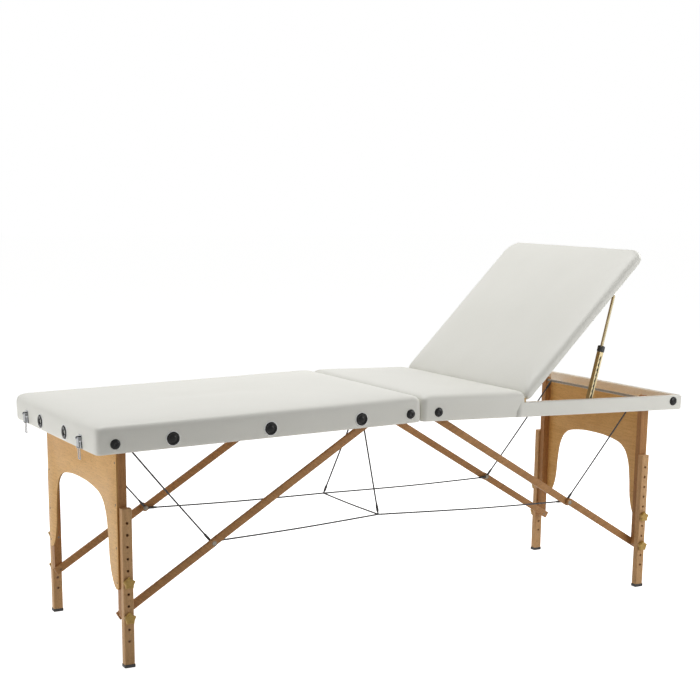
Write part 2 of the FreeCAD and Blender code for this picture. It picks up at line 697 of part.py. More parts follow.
def tooth_slot():
    """The saw-toothed slot along the channel's two cheeks, drawn along +X."""
    start = 24.0
    low = -2.2
    high = 1.0
    corners = [(start, low)]
    corners.append((start + TOOTH_COUNT * TOOTH_PITCH, low))
    for i in range(TOOTH_COUNT, 0, -1):
        corners.append((start + i * TOOTH_PITCH, high))
        corners.append((start + (i - 0.72) * TOOTH_PITCH, high + 3.2))
        corners.append((start + (i - 1) * TOOTH_PITCH + 2.5, high))
    corners.append((start, high))
    return plate_xz(corners, -CHANNEL_WIDTH, CHANNEL_WIDTH)


def strut_channel():
    half_width = CHANNEL_WIDTH / 2
    half_depth = CHANNEL_DEPTH / 2
    shell = block(0, CHANNEL_LENGTH, -half_width, half_width, -half_depth, half_depth)
    shell = joined([shell, rod_y(half_depth, -half_width, half_width, 0, 0)])
    hollow = block(-half_depth - 1, CHANNEL_LENGTH + 1, CHANNEL_WALL - half_width, half_width - CHANNEL_WALL,
                   CHANNEL_WALL - half_depth, half_depth - CHANNEL_WALL)
    pivot_bore = rod_y(4.0 + RUNNING_FIT, -half_width - 1, half_width + 1, 0, 0)
    return shell.cut([hollow, pivot_bore, tooth_slot()])


def strut_collar():
    """The black plastic end that guides the tube at the channel's mouth."""
    start = CHANNEL_LENGTH
    outer = block(start, start + 16, -9, 9, -8.5, 8.5)
    long_edges = [edge for edge in outer.Edges if abs(edge.tangentAt(edge.FirstParameter).x) > 0.99]
    outer = outer.makeChamfer(2.5, long_edges)
    bore = rod_x(TUBE_RADIUS + 0.3, start - 1, start + 17, 0, 0)
    return outer.cut(bore)


def strut_tube():
    """The sliding tube with its flattened head and short pin."""
    start = STRUT_LENGTH - TUBE_LENGTH
    tube = rod_x(TUBE_RADIUS, start, STRUT_LENGTH, 0, 0)
    head = rod_y(6.0, -TUBE_RADIUS, TUBE_RADIUS, STRUT_LENGTH, 0)
    pin = rod_y(2.5, -6.0, 6.0, STRUT_LENGTH, 0)
    return joined([tube, head, pin])


channel_pieces = []
for piece in (strut_channel(), strut_collar()):
    channel_pieces += both_sides(stand_strut(piece))
save_half("strut_channels", channel_pieces, HEAD)
save_half("strut_tubes", both_sides(stand_strut(strut_tube())), HEAD)


# Side fittings: domed rubber bumpers, socket plugs, headrest sockets

def domed_disc(radius, proud, dome):
    """A disc that lies on the near side face, its front rounded as part of a large ball."""
    ball_radius = (radius ** 2 + dome ** 2) / (2 * dome)
    ball = Part.makeSphere(ball_radius, Vector(0, ball_radius - proud, 0))
    return rod_y(radius, -proud, 0, 0, 0).common(ball)


def near_side(shape, x):
    placed = shape.copy()
    placed.translate(Vector(x, -HALF_WIDTH, FITTING_Z))
    return placed


bumper = domed_disc(BUMPER_RADIUS, FITTING_PROUD, 3.5)
save_half("foot_bumpers", [near_side(bumper, x) for x in BUMPER_X if x < 0], FOOT)
save_half("head_bumpers", [near_side(bumper, x) for x in BUMPER_X if x > 0], HEAD)

plug_flange = domed_disc(PLUG_RADIUS, FITTING_PROUD, 3.0)
plug_spigot = rod_y(SPIGOT_RADIUS, -0.5, VINYL + RAIL_THICKNESS, 0, 0)
plug = joined([plug_flange, plug_spigot])
plugs = []
for x_plug in PLUG_X:
    plugs += both_sides(near_side(plug, x_plug))
save_half("side_socket_plugs", plugs, FOOT)


def headrest_socket(y):
    """A flanged plastic bush in the foot end rail that takes one peg of a headrest."""
    face = -HALF_LENGTH
    flange = rod_x(SOCKET_RADIUS, face - FITTING_PROUD, face, y, FITTING_Z)
    rim = [edge for edge in flange.Edges if abs(edge.BoundBox.XMax - face + FITTING_PROUD) < 0.01]
    flange = flange.makeChamfer(2.0, rim)
    bush = rod_x(SPIGOT_RADIUS, face - 1, face + SOCKET_DEPTH - FITTING_PROUD, y, FITTING_Z)
    bore = rod_x(SOCKET_BORE, face - FITTING_PROUD - 1, face + SOCKET_DEPTH + 1, y, FITTING_Z)
    return joined([flange, bush]).cut(bore)


save_half("headrest_sockets", [headrest_socket(-SOCKET_Y), headrest_socket(SOCKET_Y)], FOOT)


# Toggle latches on the foot end and their hooks on the head end

LATCH_HALF_WIDTH = 11.0
LATCH_AXIS_PROUD = 6.0
LATCH_AXIS_Z = 28.0
LATCH_PIN = 1.5
LOOP_AXIS_Z = 16.0
LOOP_WIRE = 1.25
LOOP_HALF_WIDTH = 6.5
LOOP_BOTTOM_Z = -24.0
KEEPER_REACH = 10.5


def latch_base(y):
    face = -HALF_LENGTH
    axis_x = face - LATCH_AXIS_PROUD
    plate = block(face - 1.6, face, y - LATCH_HALF_WIDTH, y + LATCH_HALF_WIDTH, 3, 38)
    solids = [plate]
    for start in (y - LATCH_HALF_WIDTH, y + LATCH_HALF_WIDTH - 1.6):
        solids.append(block(axis_x, face, start, start + 1.6, LATCH_AXIS_Z - 4.5, LATCH_AXIS_Z + 4.5))
        solids.append(rod_y(4.5, start, start + 1.6, axis_x, LATCH_AXIS_Z))
    solids.append(rod_y(LATCH_PIN, y - LATCH_HALF_WIDTH, y + LATCH_HALF_WIDTH, axis_x, LATCH_AXIS_Z))
    return joined(solids)


def latch_lever(y):
    """The thumb lever: a plate that hangs from the axis and carries the loop's ends in two ears."""
    axis_x = -HALF_LENGTH - LATCH_AXIS_PROUD
    barrel = rod_y(3.2, y - 8.6, y + 8.6, axis_x, LATCH_AXIS_Z)
    blade = block(axis_x - 3.2, axis_x - 1.7, y - 8.6, y + 8.6, 6, LATCH_AXIS_Z)
    lip = block(axis_x - 5.0, axis_x - 1.7, y - 8.6, y + 8.6, 4.5, 6.0)
    bore = rod_y(LATCH_PIN + RUNNING_FIT, y - 9, y + 9, axis_x, LATCH_AXIS_Z)
    ears = []
    for start in (y - 3.5, y + 2.0):
        ears.append(block(axis_x - 2.5, axis_x + 2.2, start, start + 1.5, LOOP_AXIS_Z - 2.5, LOOP_AXIS_Z + 2.5))
    holes = rod_y(LOOP_WIRE + 0.1, y - 7, y + 7, axis_x, LOOP_AXIS_Z)
    return joined([barrel, blade, lip] + ears).cut([bore, holes])


def latch_loop(y):
    """A chrome wire loop that hangs from the lever, one closed bend with a straight top bar."""
    axis_x = -HALF_LENGTH - LATCH_AXIS_PROUD
    half = LOOP_HALF_WIDTH
    top = rod_y(LOOP_WIRE, y - half, y + half, axis_x, LOOP_AXIS_Z)
    sides = []
    for side in (-1, 1):
        drop = LOOP_AXIS_Z - LOOP_BOTTOM_Z
        sides.append(Part.makeCylinder(LOOP_WIRE, drop, Vector(axis_x, y + side * half, LOOP_BOTTOM_Z), ALONG_Z))
        for z in (LOOP_AXIS_Z, LOOP_BOTTOM_Z):
            sides.append(Part.makeSphere(LOOP_WIRE, Vector(axis_x, y + side * half, z)))
    bottom = rod_y(LOOP_WIRE, y - half, y + half, axis_x, LOOP_BOTTOM_Z)
    return joined([top, bottom] + sides)


def latch_keeper(y):
    """A hook plate on the head end that the wire loop pulls against when the table is shut."""
    face = HALF_LENGTH
    plate = block(face, face + 1.6, y - LATCH_HALF_WIDTH, y + LATCH_HALF_WIDTH, 3, 38)
    arm = block(face, face + KEEPER_REACH, y - 3.5, y + 3.5, 18, 20)
    lip = block(face + KEEPER_REACH - 1.6, face + KEEPER_REACH, y - 3.5, y + 3.5, 18, 27)
    return joined([plate, arm, lip])


save_half("latch_bases", [latch_base(-LATCH_Y), latch_base(LATCH_Y)], FOOT)
for y_latch, word in ((-LATCH_Y, "near"), (LATCH_Y, "far")):
    save_half("latch_lever_" + word, [latch_lever(y_latch)], FOOT)
    save_half("latch_loop_" + word, [latch_loop(y_latch)], FOOT)
save_half("latch_keepers", [latch_keeper(-LATCH_Y), latch_keeper(LATCH_Y)], HEAD)


# Steel cables that set the legs square: stays at the legs, long lower cables and a middle triangle

EYE_RADIUS = 6.5
EYE_GAP = 0.4
SLEEVE_RADIUS = 3.0
SLEEVE_LENGTH = 16.0
BEND_RADIUS = 2.2


def cable(first, last):
    run = last.sub(first)
    return Part.makeCylinder(CABLE_RADIUS, run.Length, first, run)


def cable_eye(x, y, z, pin_radius):
    """A crimped eye, as thick as its cable, round a pin along Y."""
    ring = rod_y(EYE_RADIUS, y - CABLE_RADIUS, y + CABLE_RADIUS, x, z)
    return ring, rod_y(pin_radius + RUNNING_FIT, y - CABLE_RADIUS - 1, y + CABLE_RADIUS + 1, x, z)


def eyed_cable(points, eyes):
    """Straight runs between points, with crimp sleeves where they end, bored out at the eyes."""
    runs = [cable(first, last) for first, last in zip(points, points[1:])]
    rings = [ring for ring, _ in eyes]
    return joined(runs + rings).cut([bore for _, bore in eyes])


def stay_y(side):
    """The stay's eye sits next to the upper link and the lower cable's eye beside it."""
    return link_planes(side)[1][0] - EYE_GAP - CABLE_RADIUS


def lower_y(side):
    return stay_y(side) - 2 * CABLE_RADIUS - EYE_GAP


def stay_cable(side):
    y = stay_y(side)
    axis_x, axis_z = leg_axis(side)
    _, _, elbow = brace_points(side)
    ends = [Vector(axis_x, y, axis_z), Vector(elbow[0], y, elbow[1])]
    eyes = [cable_eye(axis_x, y, axis_z, LEG_ROD_RADIUS), cable_eye(elbow[0], y, elbow[1], ELBOW_PIN)]
    return eyed_cable(ends, eyes)


def sleeve(middle, direction):
    start = middle.sub(direction * (SLEEVE_LENGTH / 2))
    return Part.makeCylinder(SLEEVE_RADIUS, SLEEVE_LENGTH, start, direction)


def lower_net():
    """The two long lower cables with the triangle that hangs them from the middle rail, all crimped together."""
    pieces = []
    bores = []
    knots = []
    for sign in (-1, 1):
        knot = Vector(JUNCTION[0], sign * JUNCTION[1], JUNCTION[2])
        knots.append(knot)
        for side in (FOOT, HEAD):
            _, _, elbow = brace_points(side)
            y = sign * lower_y(side)
            end = Vector(elbow[0], y, elbow[1])
            ring, bore = cable_eye(elbow[0], y, elbow[1], ELBOW_PIN)
            pieces += [cable(end, knot), ring]
            bores.append(bore)
        pieces.append(sleeve(knot, ALONG_X))
    apex_x, apex_z = half_point(FOOT, STAPLE_X, STAPLE_Z)
    tops = [Vector(apex_x, sign * APEX_HALF_Y, apex_z) for sign in (-1, 1)]
    loop = [knots[0], tops[0], tops[1], knots[1], knots[0]]
    pieces += [cable(first, last) for first, last in zip(loop, loop[1:])]
    pieces += [Part.makeSphere(BEND_RADIUS, point) for point in tops]
    return joined(pieces).cut(bores)


save("foot_stay_cables", both_sides(stay_cable(FOOT)))
save("head_stay_cables", both_sides(stay_cable(HEAD)))
save("lower_cables", [lower_net()])
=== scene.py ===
import math

import bmesh
import bpy
from mathutils import Matrix, Vector, noise


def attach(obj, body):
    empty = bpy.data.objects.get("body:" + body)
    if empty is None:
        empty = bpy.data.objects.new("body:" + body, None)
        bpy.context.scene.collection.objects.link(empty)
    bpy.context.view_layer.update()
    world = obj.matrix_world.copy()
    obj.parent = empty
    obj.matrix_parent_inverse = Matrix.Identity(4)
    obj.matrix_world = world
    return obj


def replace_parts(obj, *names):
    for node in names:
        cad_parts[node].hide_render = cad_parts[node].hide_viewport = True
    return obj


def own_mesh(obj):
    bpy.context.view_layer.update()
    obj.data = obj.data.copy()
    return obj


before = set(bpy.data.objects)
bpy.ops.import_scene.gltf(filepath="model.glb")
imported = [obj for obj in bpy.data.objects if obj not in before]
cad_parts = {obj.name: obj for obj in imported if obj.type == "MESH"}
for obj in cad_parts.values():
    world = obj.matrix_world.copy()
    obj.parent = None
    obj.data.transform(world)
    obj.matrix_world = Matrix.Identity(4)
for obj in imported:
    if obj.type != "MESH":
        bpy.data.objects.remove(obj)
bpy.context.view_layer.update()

# The studio: a white sweep of paper under a broad soft light from above and weaker ones, as for a catalogue.
# The paper looks white to the camera and in reflections, and still takes the table's faint shadow.

MM = 0.001
PAPER = "#F4F4F2"
PAPER_GLOW = 0.88
WORLD_LIGHT = 0.13


def linear(text):
    """A colour written as sRGB hex, as the linear values that the shaders take."""
    values = [int(text[i:i + 2], 16) / 255 for i in (1, 3, 5)]
    return tuple(v / 12.92 if v <= 0.04045 else ((v + 0.055) / 1.055) ** 2.4 for v in values) + (1.0,)


def add(tree, kind, settings=None, links=None):
    """Adds a node, sets its properties or sockets, and links its sockets to other nodes' outputs."""
    made = tree.nodes.new(kind)
    for key, value in (settings or {}).items():
        if isinstance(key, str) and hasattr(made, key):
            setattr(made, key, value)
        else:
            made.inputs[key].default_value = value
    for key, output in (links or {}).items():
        tree.links.new(output, made.inputs[key])
    return made


def seen_directly(tree):
    """1 where the camera, a reflection or a view through glass looks straight at the surface."""
    path = add(tree, "ShaderNodeLightPath")
    either = add(tree, "ShaderNodeMath", {"operation": "MAXIMUM"},
                 {0: path.outputs["Is Camera Ray"], 1: path.outputs["Is Glossy Ray"]})
    return add(tree, "ShaderNodeMath", {"operation": "MAXIMUM"},
               {0: either.outputs[0], 1: path.outputs["Is Transmission Ray"]}).outputs[0]


scene = bpy.context.scene
scene.view_settings.view_transform = "Standard"

paper = bpy.data.materials.new("white background paper")
paper.use_nodes = True
paper_tree = paper.node_tree
paper_tree.nodes.clear()
paper_matte = add(paper_tree, "ShaderNodeBsdfDiffuse", {"Color": linear(PAPER)})
paper_lift = add(paper_tree, "ShaderNodeMath", {"operation": "MULTIPLY", 1: PAPER_GLOW},
                 {0: seen_directly(paper_tree)})
paper_white = add(paper_tree, "ShaderNodeEmission", {"Color": (1, 1, 1, 1)},
                  {"Strength": paper_lift.outputs[0]})
paper_sum = add(paper_tree, "ShaderNodeAddShader", None,
                {0: paper_matte.outputs[0], 1: paper_white.outputs[0]})
add(paper_tree, "ShaderNodeOutputMaterial", None, {"Surface": paper_sum.outputs[0]})

floor_mesh = bpy.data.meshes.new("paper floor")
floor_mesh.from_pydata([(-30, -30, 0), (30, -30, 0), (30, 30, 0), (-30, 30, 0)], [], [(0, 1, 2, 3)])
floor = bpy.data.objects.new("paper_floor", floor_mesh)
floor.data.materials.append(paper)
scene.collection.objects.link(floor)

world = bpy.data.worlds.new("white room")
scene.world = world
world.use_nodes = True
room = world.node_tree
room.nodes.clear()
room_strength = add(room, "ShaderNodeMapRange", {"To Min": WORLD_LIGHT, "To Max": 1.0},
                    {"Value": seen_directly(room)})
room_light = add(room, "ShaderNodeBackground", {"Color": (1, 1, 1, 1)}, {"Strength": room_strength.outputs[0]})
add(room, "ShaderNodeOutputWorld", None, {"Surface": room_light.outputs[0]})


def soft_lamp(name, place, aim, size, watts):
    lamp = bpy.data.lights.new(name, "AREA")
    lamp.shape = "DISK"
    lamp.size = size
    lamp.energy = watts
    holder = bpy.data.objects.new(name, lamp)
    holder.location = place
    holder.rotation_euler = (Vector(aim) - Vector(place)).to_track_quat("-Z", "Y").to_euler()
    scene.collection.objects.link(holder)


soft_lamp("key light above", (-0.3, 0.8, 4.2), (0.0, 0.0, 0.6), 2.6, 97)
soft_lamp("fill light front right", (2.0, -2.3, 1.2), (1.0, -0.3, 0.6), 1.6, 26)
soft_lamp("low light from the left", (-3.4, 0.1, 0.42), (-0.2, 0.0, 0.3), 1.8, 31)
soft_lamp("light behind the backrest", (3.4, 0.9, 1.9), (0.7, 0.0, 0.6), 1.6, 42)

# The view of the photograph, worked out from the table's corners: a long lens, a little above the pads.
VIEW_PLACE = Vector((-2.1225, -3.7193, 1.2165))
VIEW_TURN = math.radians(-29.594)
VIEW_DIP = math.radians(12.432)
VIEW_ROLL = math.radians(0.716)
FOCAL_PIXELS = 1471.6
MIDDLE_X, MIDDLE_Y = 358.05, 510.49
PICTURE = 700.0

back = Vector((math.sin(VIEW_TURN) * math.cos(VIEW_DIP), -math.cos(VIEW_TURN) * math.cos(VIEW_DIP),
               math.sin(VIEW_DIP)))
level = Vector((math.cos(VIEW_TURN), math.sin(VIEW_TURN), 0))
above = back.cross(level)
right = level * math.cos(VIEW_ROLL) + above * math.sin(VIEW_ROLL)
upward = above * math.cos(VIEW_ROLL) - level * math.sin(VIEW_ROLL)
lens = bpy.data.cameras.new("catalogue view")
lens.sensor_width = 36.0
lens.lens = lens.sensor_width * FOCAL_PIXELS / PICTURE
lens.shift_x = (PICTURE / 2 - MIDDLE_X) / PICTURE
lens.shift_y = (MIDDLE_Y - PICTURE / 2) / PICTURE
camera = bpy.data.objects.new("catalogue_view", lens)
camera.matrix_world = Matrix((
    (right.x, upward.x, back.x, VIEW_PLACE.x),
    (right.y, upward.y, back.y, VIEW_PLACE.y),
    (right.z, upward.z, back.z, VIEW_PLACE.z),
    (0, 0, 0, 1),
))
scene.collection.objects.link(camera)
scene.camera = camera


# Steel cables: wire rope in a dark plastic coat, crimped to eyes on the brace elbows and to the leg rods.
# They hold the legs square and go slack when the table folds, so they lie up under their half then.

HINGE_HEIGHT = 580.0
HINGE_DROP = 7.0
CAMBER = math.radians(1.35)
FOOT = -1
HEAD = 1
END = {FOOT: "foot", HEAD: "head"}
LEG_ROD = {FOOT: (-846.71, 600.06), HEAD: (848.49, 591.01)}
ELBOW = {FOOT: (-589.48, 291.96), HEAD: (595.78, 285.89)}
STAY_Y = {FOOT: 236.1, HEAD: 215.1}
LOWER_Y = {FOOT: 232.9, HEAD: 211.9}
KNOT = (-38.0, 166.0, 298.0)
STAPLE = (-12.07, 11.0, 582.72)
CABLE_WIDTH = 4.6
CABLE_SAG_SHARE = 0.005
SEAM_X = 2.0
SEAM_SAG = 0.6
STRAND_LAY_MM = 9.0


def on_half(side, x, y, z):
    """A point of a half as it is drawn flat, in mm, at its place in the standing table, in metres."""
    turn = side * CAMBER
    up = z + HINGE_DROP
    return Vector((x * math.cos(turn) + up * math.sin(turn), y,
                   HINGE_HEIGHT - x * math.sin(turn) + up * math.cos(turn))) * MM


def half_normal(side):
    return Vector((math.sin(side * CAMBER), 0, math.cos(side * CAMBER)))


def new_finish(name, **sockets):
    """A material with one Principled shader, its constant sockets set by name."""
    material = bpy.data.materials.new(name)
    material.use_nodes = True
    shader = material.node_tree.nodes["Principled BSDF"]
    for key, value in sockets.items():
        shader.inputs[key.replace("_", " ")].default_value = value
    return material, material.node_tree, shader


def place_on(tree):
    return add(tree, "ShaderNodeTexCoord").outputs["Object"]


# Wire rope: the twisted strands show as fine slanting bands through a dark grey plastic coat.
wire_rope, rope_tree, rope_shader = new_finish("dark coated wire rope", Roughness=0.5)
rope_bands = add(rope_tree, "ShaderNodeTexWave", {"wave_type": "BANDS", "bands_direction": "DIAGONAL",
                                                  "Scale": 1 / (STRAND_LAY_MM * MM), "Distortion": 0.6},
                 {"Vector": place_on(rope_tree)})
rope_mix = add(rope_tree, "ShaderNodeMix", {"data_type": "RGBA", 6: linear("#232327"), 7: linear("#3E3E43")},
               {0: rope_bands.outputs["Fac"]})
rope_tree.links.new(rope_mix.outputs[2], rope_shader.inputs["Base Color"])
rope_bump = add(rope_tree, "ShaderNodeBump", {"Strength": 0.5, "Distance": 0.4 * MM},
                {"Height": rope_bands.outputs["Fac"]})
rope_tree.links.new(rope_bump.outputs[0], rope_shader.inputs["Normal"])


def mesh_piece(name, mesh, material, body):
    """A finished mesh as a piece of the table that moves with a body."""
    piece = bpy.data.objects.new(name, mesh)
    mesh.materials.clear()
    mesh.materials.append(material)
    for face in mesh.polygons:
        face.use_smooth = True
    scene.collection.objects.link(piece)
    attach(piece, body)
    return piece


def spline_tube(name, points, width):
    """A round tube on one smooth spline, with the points that its middle line runs through."""
    curve = bpy.data.curves.new(name, "CURVE")
    curve.dimensions = "3D"
    spline = curve.splines.new("NURBS")
    spline.points.add(len(points) - 1)
    for knot, point in zip(spline.points, points):
        knot.co = (*point, 1.0)
    spline.order_u = 3
    spline.use_endpoint_u = True
    spline.resolution_u = 6
    carrier = bpy.data.objects.new(name + "_line", curve)
    scene.collection.objects.link(carrier)
    line = bpy.data.meshes.new_from_object(carrier)
    middle = [vertex.co.copy() for vertex in line.vertices]
    curve.bevel_depth = width / 2
    curve.bevel_resolution = 3
    curve.use_fill_caps = True
    tube = bpy.data.meshes.new_from_object(carrier)
    bpy.data.objects.remove(carrier)
    bpy.data.curves.remove(curve)
    bpy.data.meshes.remove(line)
    tube.name = name
    return tube, middle


def finished_mesh(made, name):
    """A built form as a mesh, with its faces turned outwards."""
    bmesh.ops.recalc_face_normals(made, faces=made.faces)
    mesh = bpy.data.meshes.new(name)
    made.to_mesh(mesh)
    made.free()
    return mesh


def lathe_mesh(name, profile, start, along, steps):
    """A turned form: (radius, distance) pairs in mm round an axis from start, closed where a radius is 0."""
    along = Vector(along).normalized()
    side_a = along.orthogonal().normalized()
    side_b = along.cross(side_a)
    made = bmesh.new()
    rings = []
    for radius, distance in profile:
        centre = Vector(start) + along * distance * MM
        if radius == 0:
            rings.append([made.verts.new(centre)] * steps)
            continue
        ring = []
        for i in range(steps):
            turn = 2 * math.pi * i / steps
            offset = side_a * math.cos(turn) + side_b * math.sin(turn)
            ring.append(made.verts.new(centre + offset * radius * MM))
        rings.append(ring)
    for low, high in zip(rings, rings[1:]):
        for i in range(steps):
            j = (i + 1) % steps
            corners = list(dict.fromkeys((low[i], low[j], high[j], high[i])))
            if len(corners) > 2:
                made.faces.new(corners)
    bmesh.ops.remove_doubles(made, verts=made.verts, dist=0.0001 * MM)
    return finished_mesh(made, name)


def mottled(name, deep, pale, spot_mm, detail=2.0, matt=None, swirl=0.0, **sockets):
    """A finish in soft spots of a given size between two tones, and between two roughnesses where given."""
    material, tree, shader = new_finish(name, **sockets)
    spots = add(tree, "ShaderNodeTexNoise",
                {"Scale": 1 / (spot_mm * MM), "Detail": detail, "Distortion": swirl}, {"Vector": place_on(tree)})
    tone = add(tree, "ShaderNodeMix", {"data_type": "RGBA", 6: linear(deep), 7: linear(pale)},
               {0: spots.outputs["Fac"]})
    tree.links.new(tone.outputs[2], shader.inputs["Base Color"])
    if matt:
        dull = add(tree, "ShaderNodeMapRange", {"To Min": matt[0], "To Max": matt[1]},
                   {"Value": spots.outputs["Fac"]})
        tree.links.new(dull.outputs[0], shader.inputs["Roughness"])
    return material


# Black shrink sleeve over each crimp: moulded plastic, matt with a fine grain.
sleeve_black = mottled("black moulded sleeve", "#0E0E0F", "#242426", 1.5, 3.0, Roughness=0.5)

SLEEVE_PROFILE = ((0, 8), (2.6, 8), (3.4, 9.5), (3.7, 12), (3.7, 24), (3.2, 28), (2.7, 31), (2.35, 33), (0, 33))


def slack(piece):
    """Gives a cable or its sleeve a mesh of its own."""
    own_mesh(piece)


def steel_cable(name, side, ends, node, sleeves, via=()):
    """A taut cable between points in mm, with crimp sleeves at the ends that are listed."""
    first, last = (Vector(point) * MM for point in ends)
    inner = [Vector(point) * MM for point in via]
    if not inner:
        drop = Vector((0, 0, CABLE_SAG_SHARE * (last - first).length))
        inner = [first.lerp(last, 0.35) - drop, first.lerp(last, 0.65) - drop]
    tube, middle = spline_tube(name, [first] + inner + [last], CABLE_WIDTH * MM)
    body = END[side] + "_half"
    cable = mesh_piece(name, tube, wire_rope, body)
    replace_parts(cable, node)
    route = [first] + inner + [last]
    crimps = []
    for number, (start, following) in enumerate(((route[0], route[1]), (route[-1], route[-2]))):
        if number in sleeves:
            crimp = lathe_mesh(name + "_sleeve_%d" % number, SLEEVE_PROFILE, start, following - start, steps=14)
            crimps.append(mesh_piece(crimp.name, crimp, sleeve_black, body))
    slack(cable)
    for crimp in crimps:
        slack(crimp)


for sign, word in ((-1, "near"), (1, "far")):
    knot = (KNOT[0], sign * KNOT[1], KNOT[2])
    # The long cable past the knot parts under the seam, so that each half keeps its own stretch when it folds.
    share = (SEAM_X - KNOT[0]) / (ELBOW[HEAD][0] - KNOT[0])
    seam_point = (SEAM_X, sign * (KNOT[1] + share * (LOWER_Y[HEAD] - KNOT[1])),
                  KNOT[2] + share * (ELBOW[HEAD][1] - KNOT[2]) - SEAM_SAG)
    for side in (FOOT, HEAD):
        rod = LEG_ROD[side]
        elbow = ELBOW[side]
        stay_ends = ((elbow[0], sign * STAY_Y[side], elbow[1]), (rod[0], sign * STAY_Y[side], rod[1]))
        steel_cable("stay_cable_%s_%s" % (END[side], word), side, stay_ends, END[side] + "_stay_cables", (0, 1))
        anchor = (elbow[0], sign * LOWER_Y[side], elbow[1])
        ends = (anchor, knot) if side == FOOT else (anchor, seam_point)
        steel_cable("lower_cable_%s_%s" % (END[side], word), side, ends, "lower_cables", (0,))
    steel_cable("lower_cable_tail_" + word, FOOT, (knot, seam_point), "lower_cables", ())

# Each hanger leaves the staple level, bends round its end and then runs straight to the knot.
HANGER_TUCK = 0.2
HANGER_DIP = 0.5
HANGER_RUN = (1.2, 9.3, 17.0)
near_knot = (KNOT[0], -KNOT[1], KNOT[2])
far_knot = (KNOT[0], KNOT[1], KNOT[2])
for sign, word, knot in ((-1, "near", near_knot), (1, "far", far_knot)):
    top = (STAPLE[0], sign * STAPLE[1] * HANGER_TUCK, STAPLE[2])
    turn_in = (STAPLE[0], sign * STAPLE[1], STAPLE[2] - HANGER_DIP)
    below = (STAPLE[0] - HANGER_RUN[0], sign * (STAPLE[1] + HANGER_RUN[1]), STAPLE[2] - HANGER_RUN[2])
    steel_cable("hanger_cable_" + word, FOOT, (knot, top), "lower_cables", (0,), via=(below, turn_in))
steel_cable("cross_cable", FOOT, (near_knot, far_knot), "lower_cables", ())


# Frame timber: planed pine rails, left bare inside, with the decks of thin birch plywood on top.
# The rails show from under the table and where the raised backrest uncovers the head half.

# How far figure, streaks and pores run along the grain. Real pores are finer, and are drawn so that they show.
FIGURE_RUN_MM = 1000 / 3
STREAK_RUN_MM = 1000 / 18
PORE_RUN_MM = 25 / 3
PORE_WIDTH_MM = 10 / 9


def wood(name, pale, deep, pore, grain, streak_mm, figure_mm, roughness):
    """Planed and lacquered wood with its grain along one direction, given as a turn of the texture."""
    material, tree, shader = new_finish(name, Roughness=roughness, Specular_IOR_Level=0.25)
    spot = place_on(tree)
    along = add(tree, "ShaderNodeMapping", {"Rotation": grain}, {"Vector": spot})

    def drawn_out(run_mm, width_mm):
        scale = (1 / (run_mm * MM), 1 / (width_mm * MM), 1 / (width_mm * MM))
        return add(tree, "ShaderNodeVectorMath", {"operation": "MULTIPLY", 1: scale}, {0: along.outputs[0]})

    broad = drawn_out(FIGURE_RUN_MM, figure_mm)
    figure = add(tree, "ShaderNodeTexNoise", {"Scale": 1.0, "Detail": 4.0, "Distortion": 0.8},
                 {"Vector": broad.outputs[0]})
    fine = drawn_out(STREAK_RUN_MM, streak_mm)
    streak = add(tree, "ShaderNodeTexNoise", {"Scale": 1.0, "Detail": 6.0, "Roughness": 0.62},
                 {"Vector": fine.outputs[0]})
    both = add(tree, "ShaderNodeMath", {"operation": "MULTIPLY_ADD", 1: 0.55},
               {0: figure.outputs["Fac"], 2: streak.outputs["Fac"]})
    spread = add(tree, "ShaderNodeMapRange", {"From Min": 0.5, "From Max": 1.05}, {"Value": both.outputs[0]})
    body = add(tree, "ShaderNodeMix", {"data_type": "RGBA", 6: linear(deep), 7: linear(pale)},
               {0: spread.outputs[0]})
    dashes = drawn_out(PORE_RUN_MM, PORE_WIDTH_MM)
    pores = add(tree, "ShaderNodeTexNoise", {"Scale": 1.0, "Detail": 1.0}, {"Vector": dashes.outputs[0]})
    pits = add(tree, "ShaderNodeMapRange", {"From Min": 0.60, "From Max": 0.70, "To Max": 0.55},
               {"Value": pores.outputs["Fac"]})
    surface = add(tree, "ShaderNodeMix", {"data_type": "RGBA", 7: linear(pore)},
                  {0: pits.outputs[0], 6: body.outputs[2]})
    tree.links.new(surface.outputs[2], shader.inputs["Base Color"])
    gloss = add(tree, "ShaderNodeMapRange", {"To Min": roughness - 0.07, "To Max": roughness + 0.12},
                {"Value": streak.outputs["Fac"]})
    tree.links.new(gloss.outputs[0], shader.inputs["Roughness"])
    bump = add(tree, "ShaderNodeBump", {"Strength": 0.25, "Distance": 0.3 * MM, "invert": True},
               {"Height": pits.outputs[0]})
    tree.links.new(bump.outputs[0], shader.inputs["Normal"])
    return material


def dress(material, *nodes):
    for name in nodes:
        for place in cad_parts[name].material_slots:
            place.material = material


GRAIN_X = (0, 0, 0)
GRAIN_Y = (0, 0, math.radians(90))
GRAIN_Z = (0, math.radians(90), 0)

# Planed pine is pale with soft streaks and hardly shines. Birch plywood is browner and more even.
pine_long = wood("planed pine side rails", "#F8F1E6", "#EDE2D2", "#D2BC9E", GRAIN_X, 7, 26, 0.55)
pine_across = wood("planed pine cross rails", "#FAF5EC", "#F0E7DA", "#D2BC9E", GRAIN_Y, 7, 26, 0.55)
birch_ply = wood("birch plywood decks", "#D9BE94", "#C7A676", "#A98555", GRAIN_X, 9, 60, 0.5)
dress(pine_long, "foot_side_rails", "head_side_rails")
dress(pine_across, "foot_cross_rails", "head_cross_rails")
dress(birch_ply, "foot_deck", "seat_deck", "backrest_board")


# Upholstery: white polyurethane leather drawn tight over firm foam, round the rails and under them.
# The foot half, the seat and the backrest have a cover each, so the sides are flat and the top edge soft.

HALF_LENGTH = 935.0
HALF_WIDTH = 332.0
LONG_STEPS = 44
END_STEPS = 30
CORNER_STEPS = 8
GRAIN_MM = 2.6
CLOUD_MM = 180.0

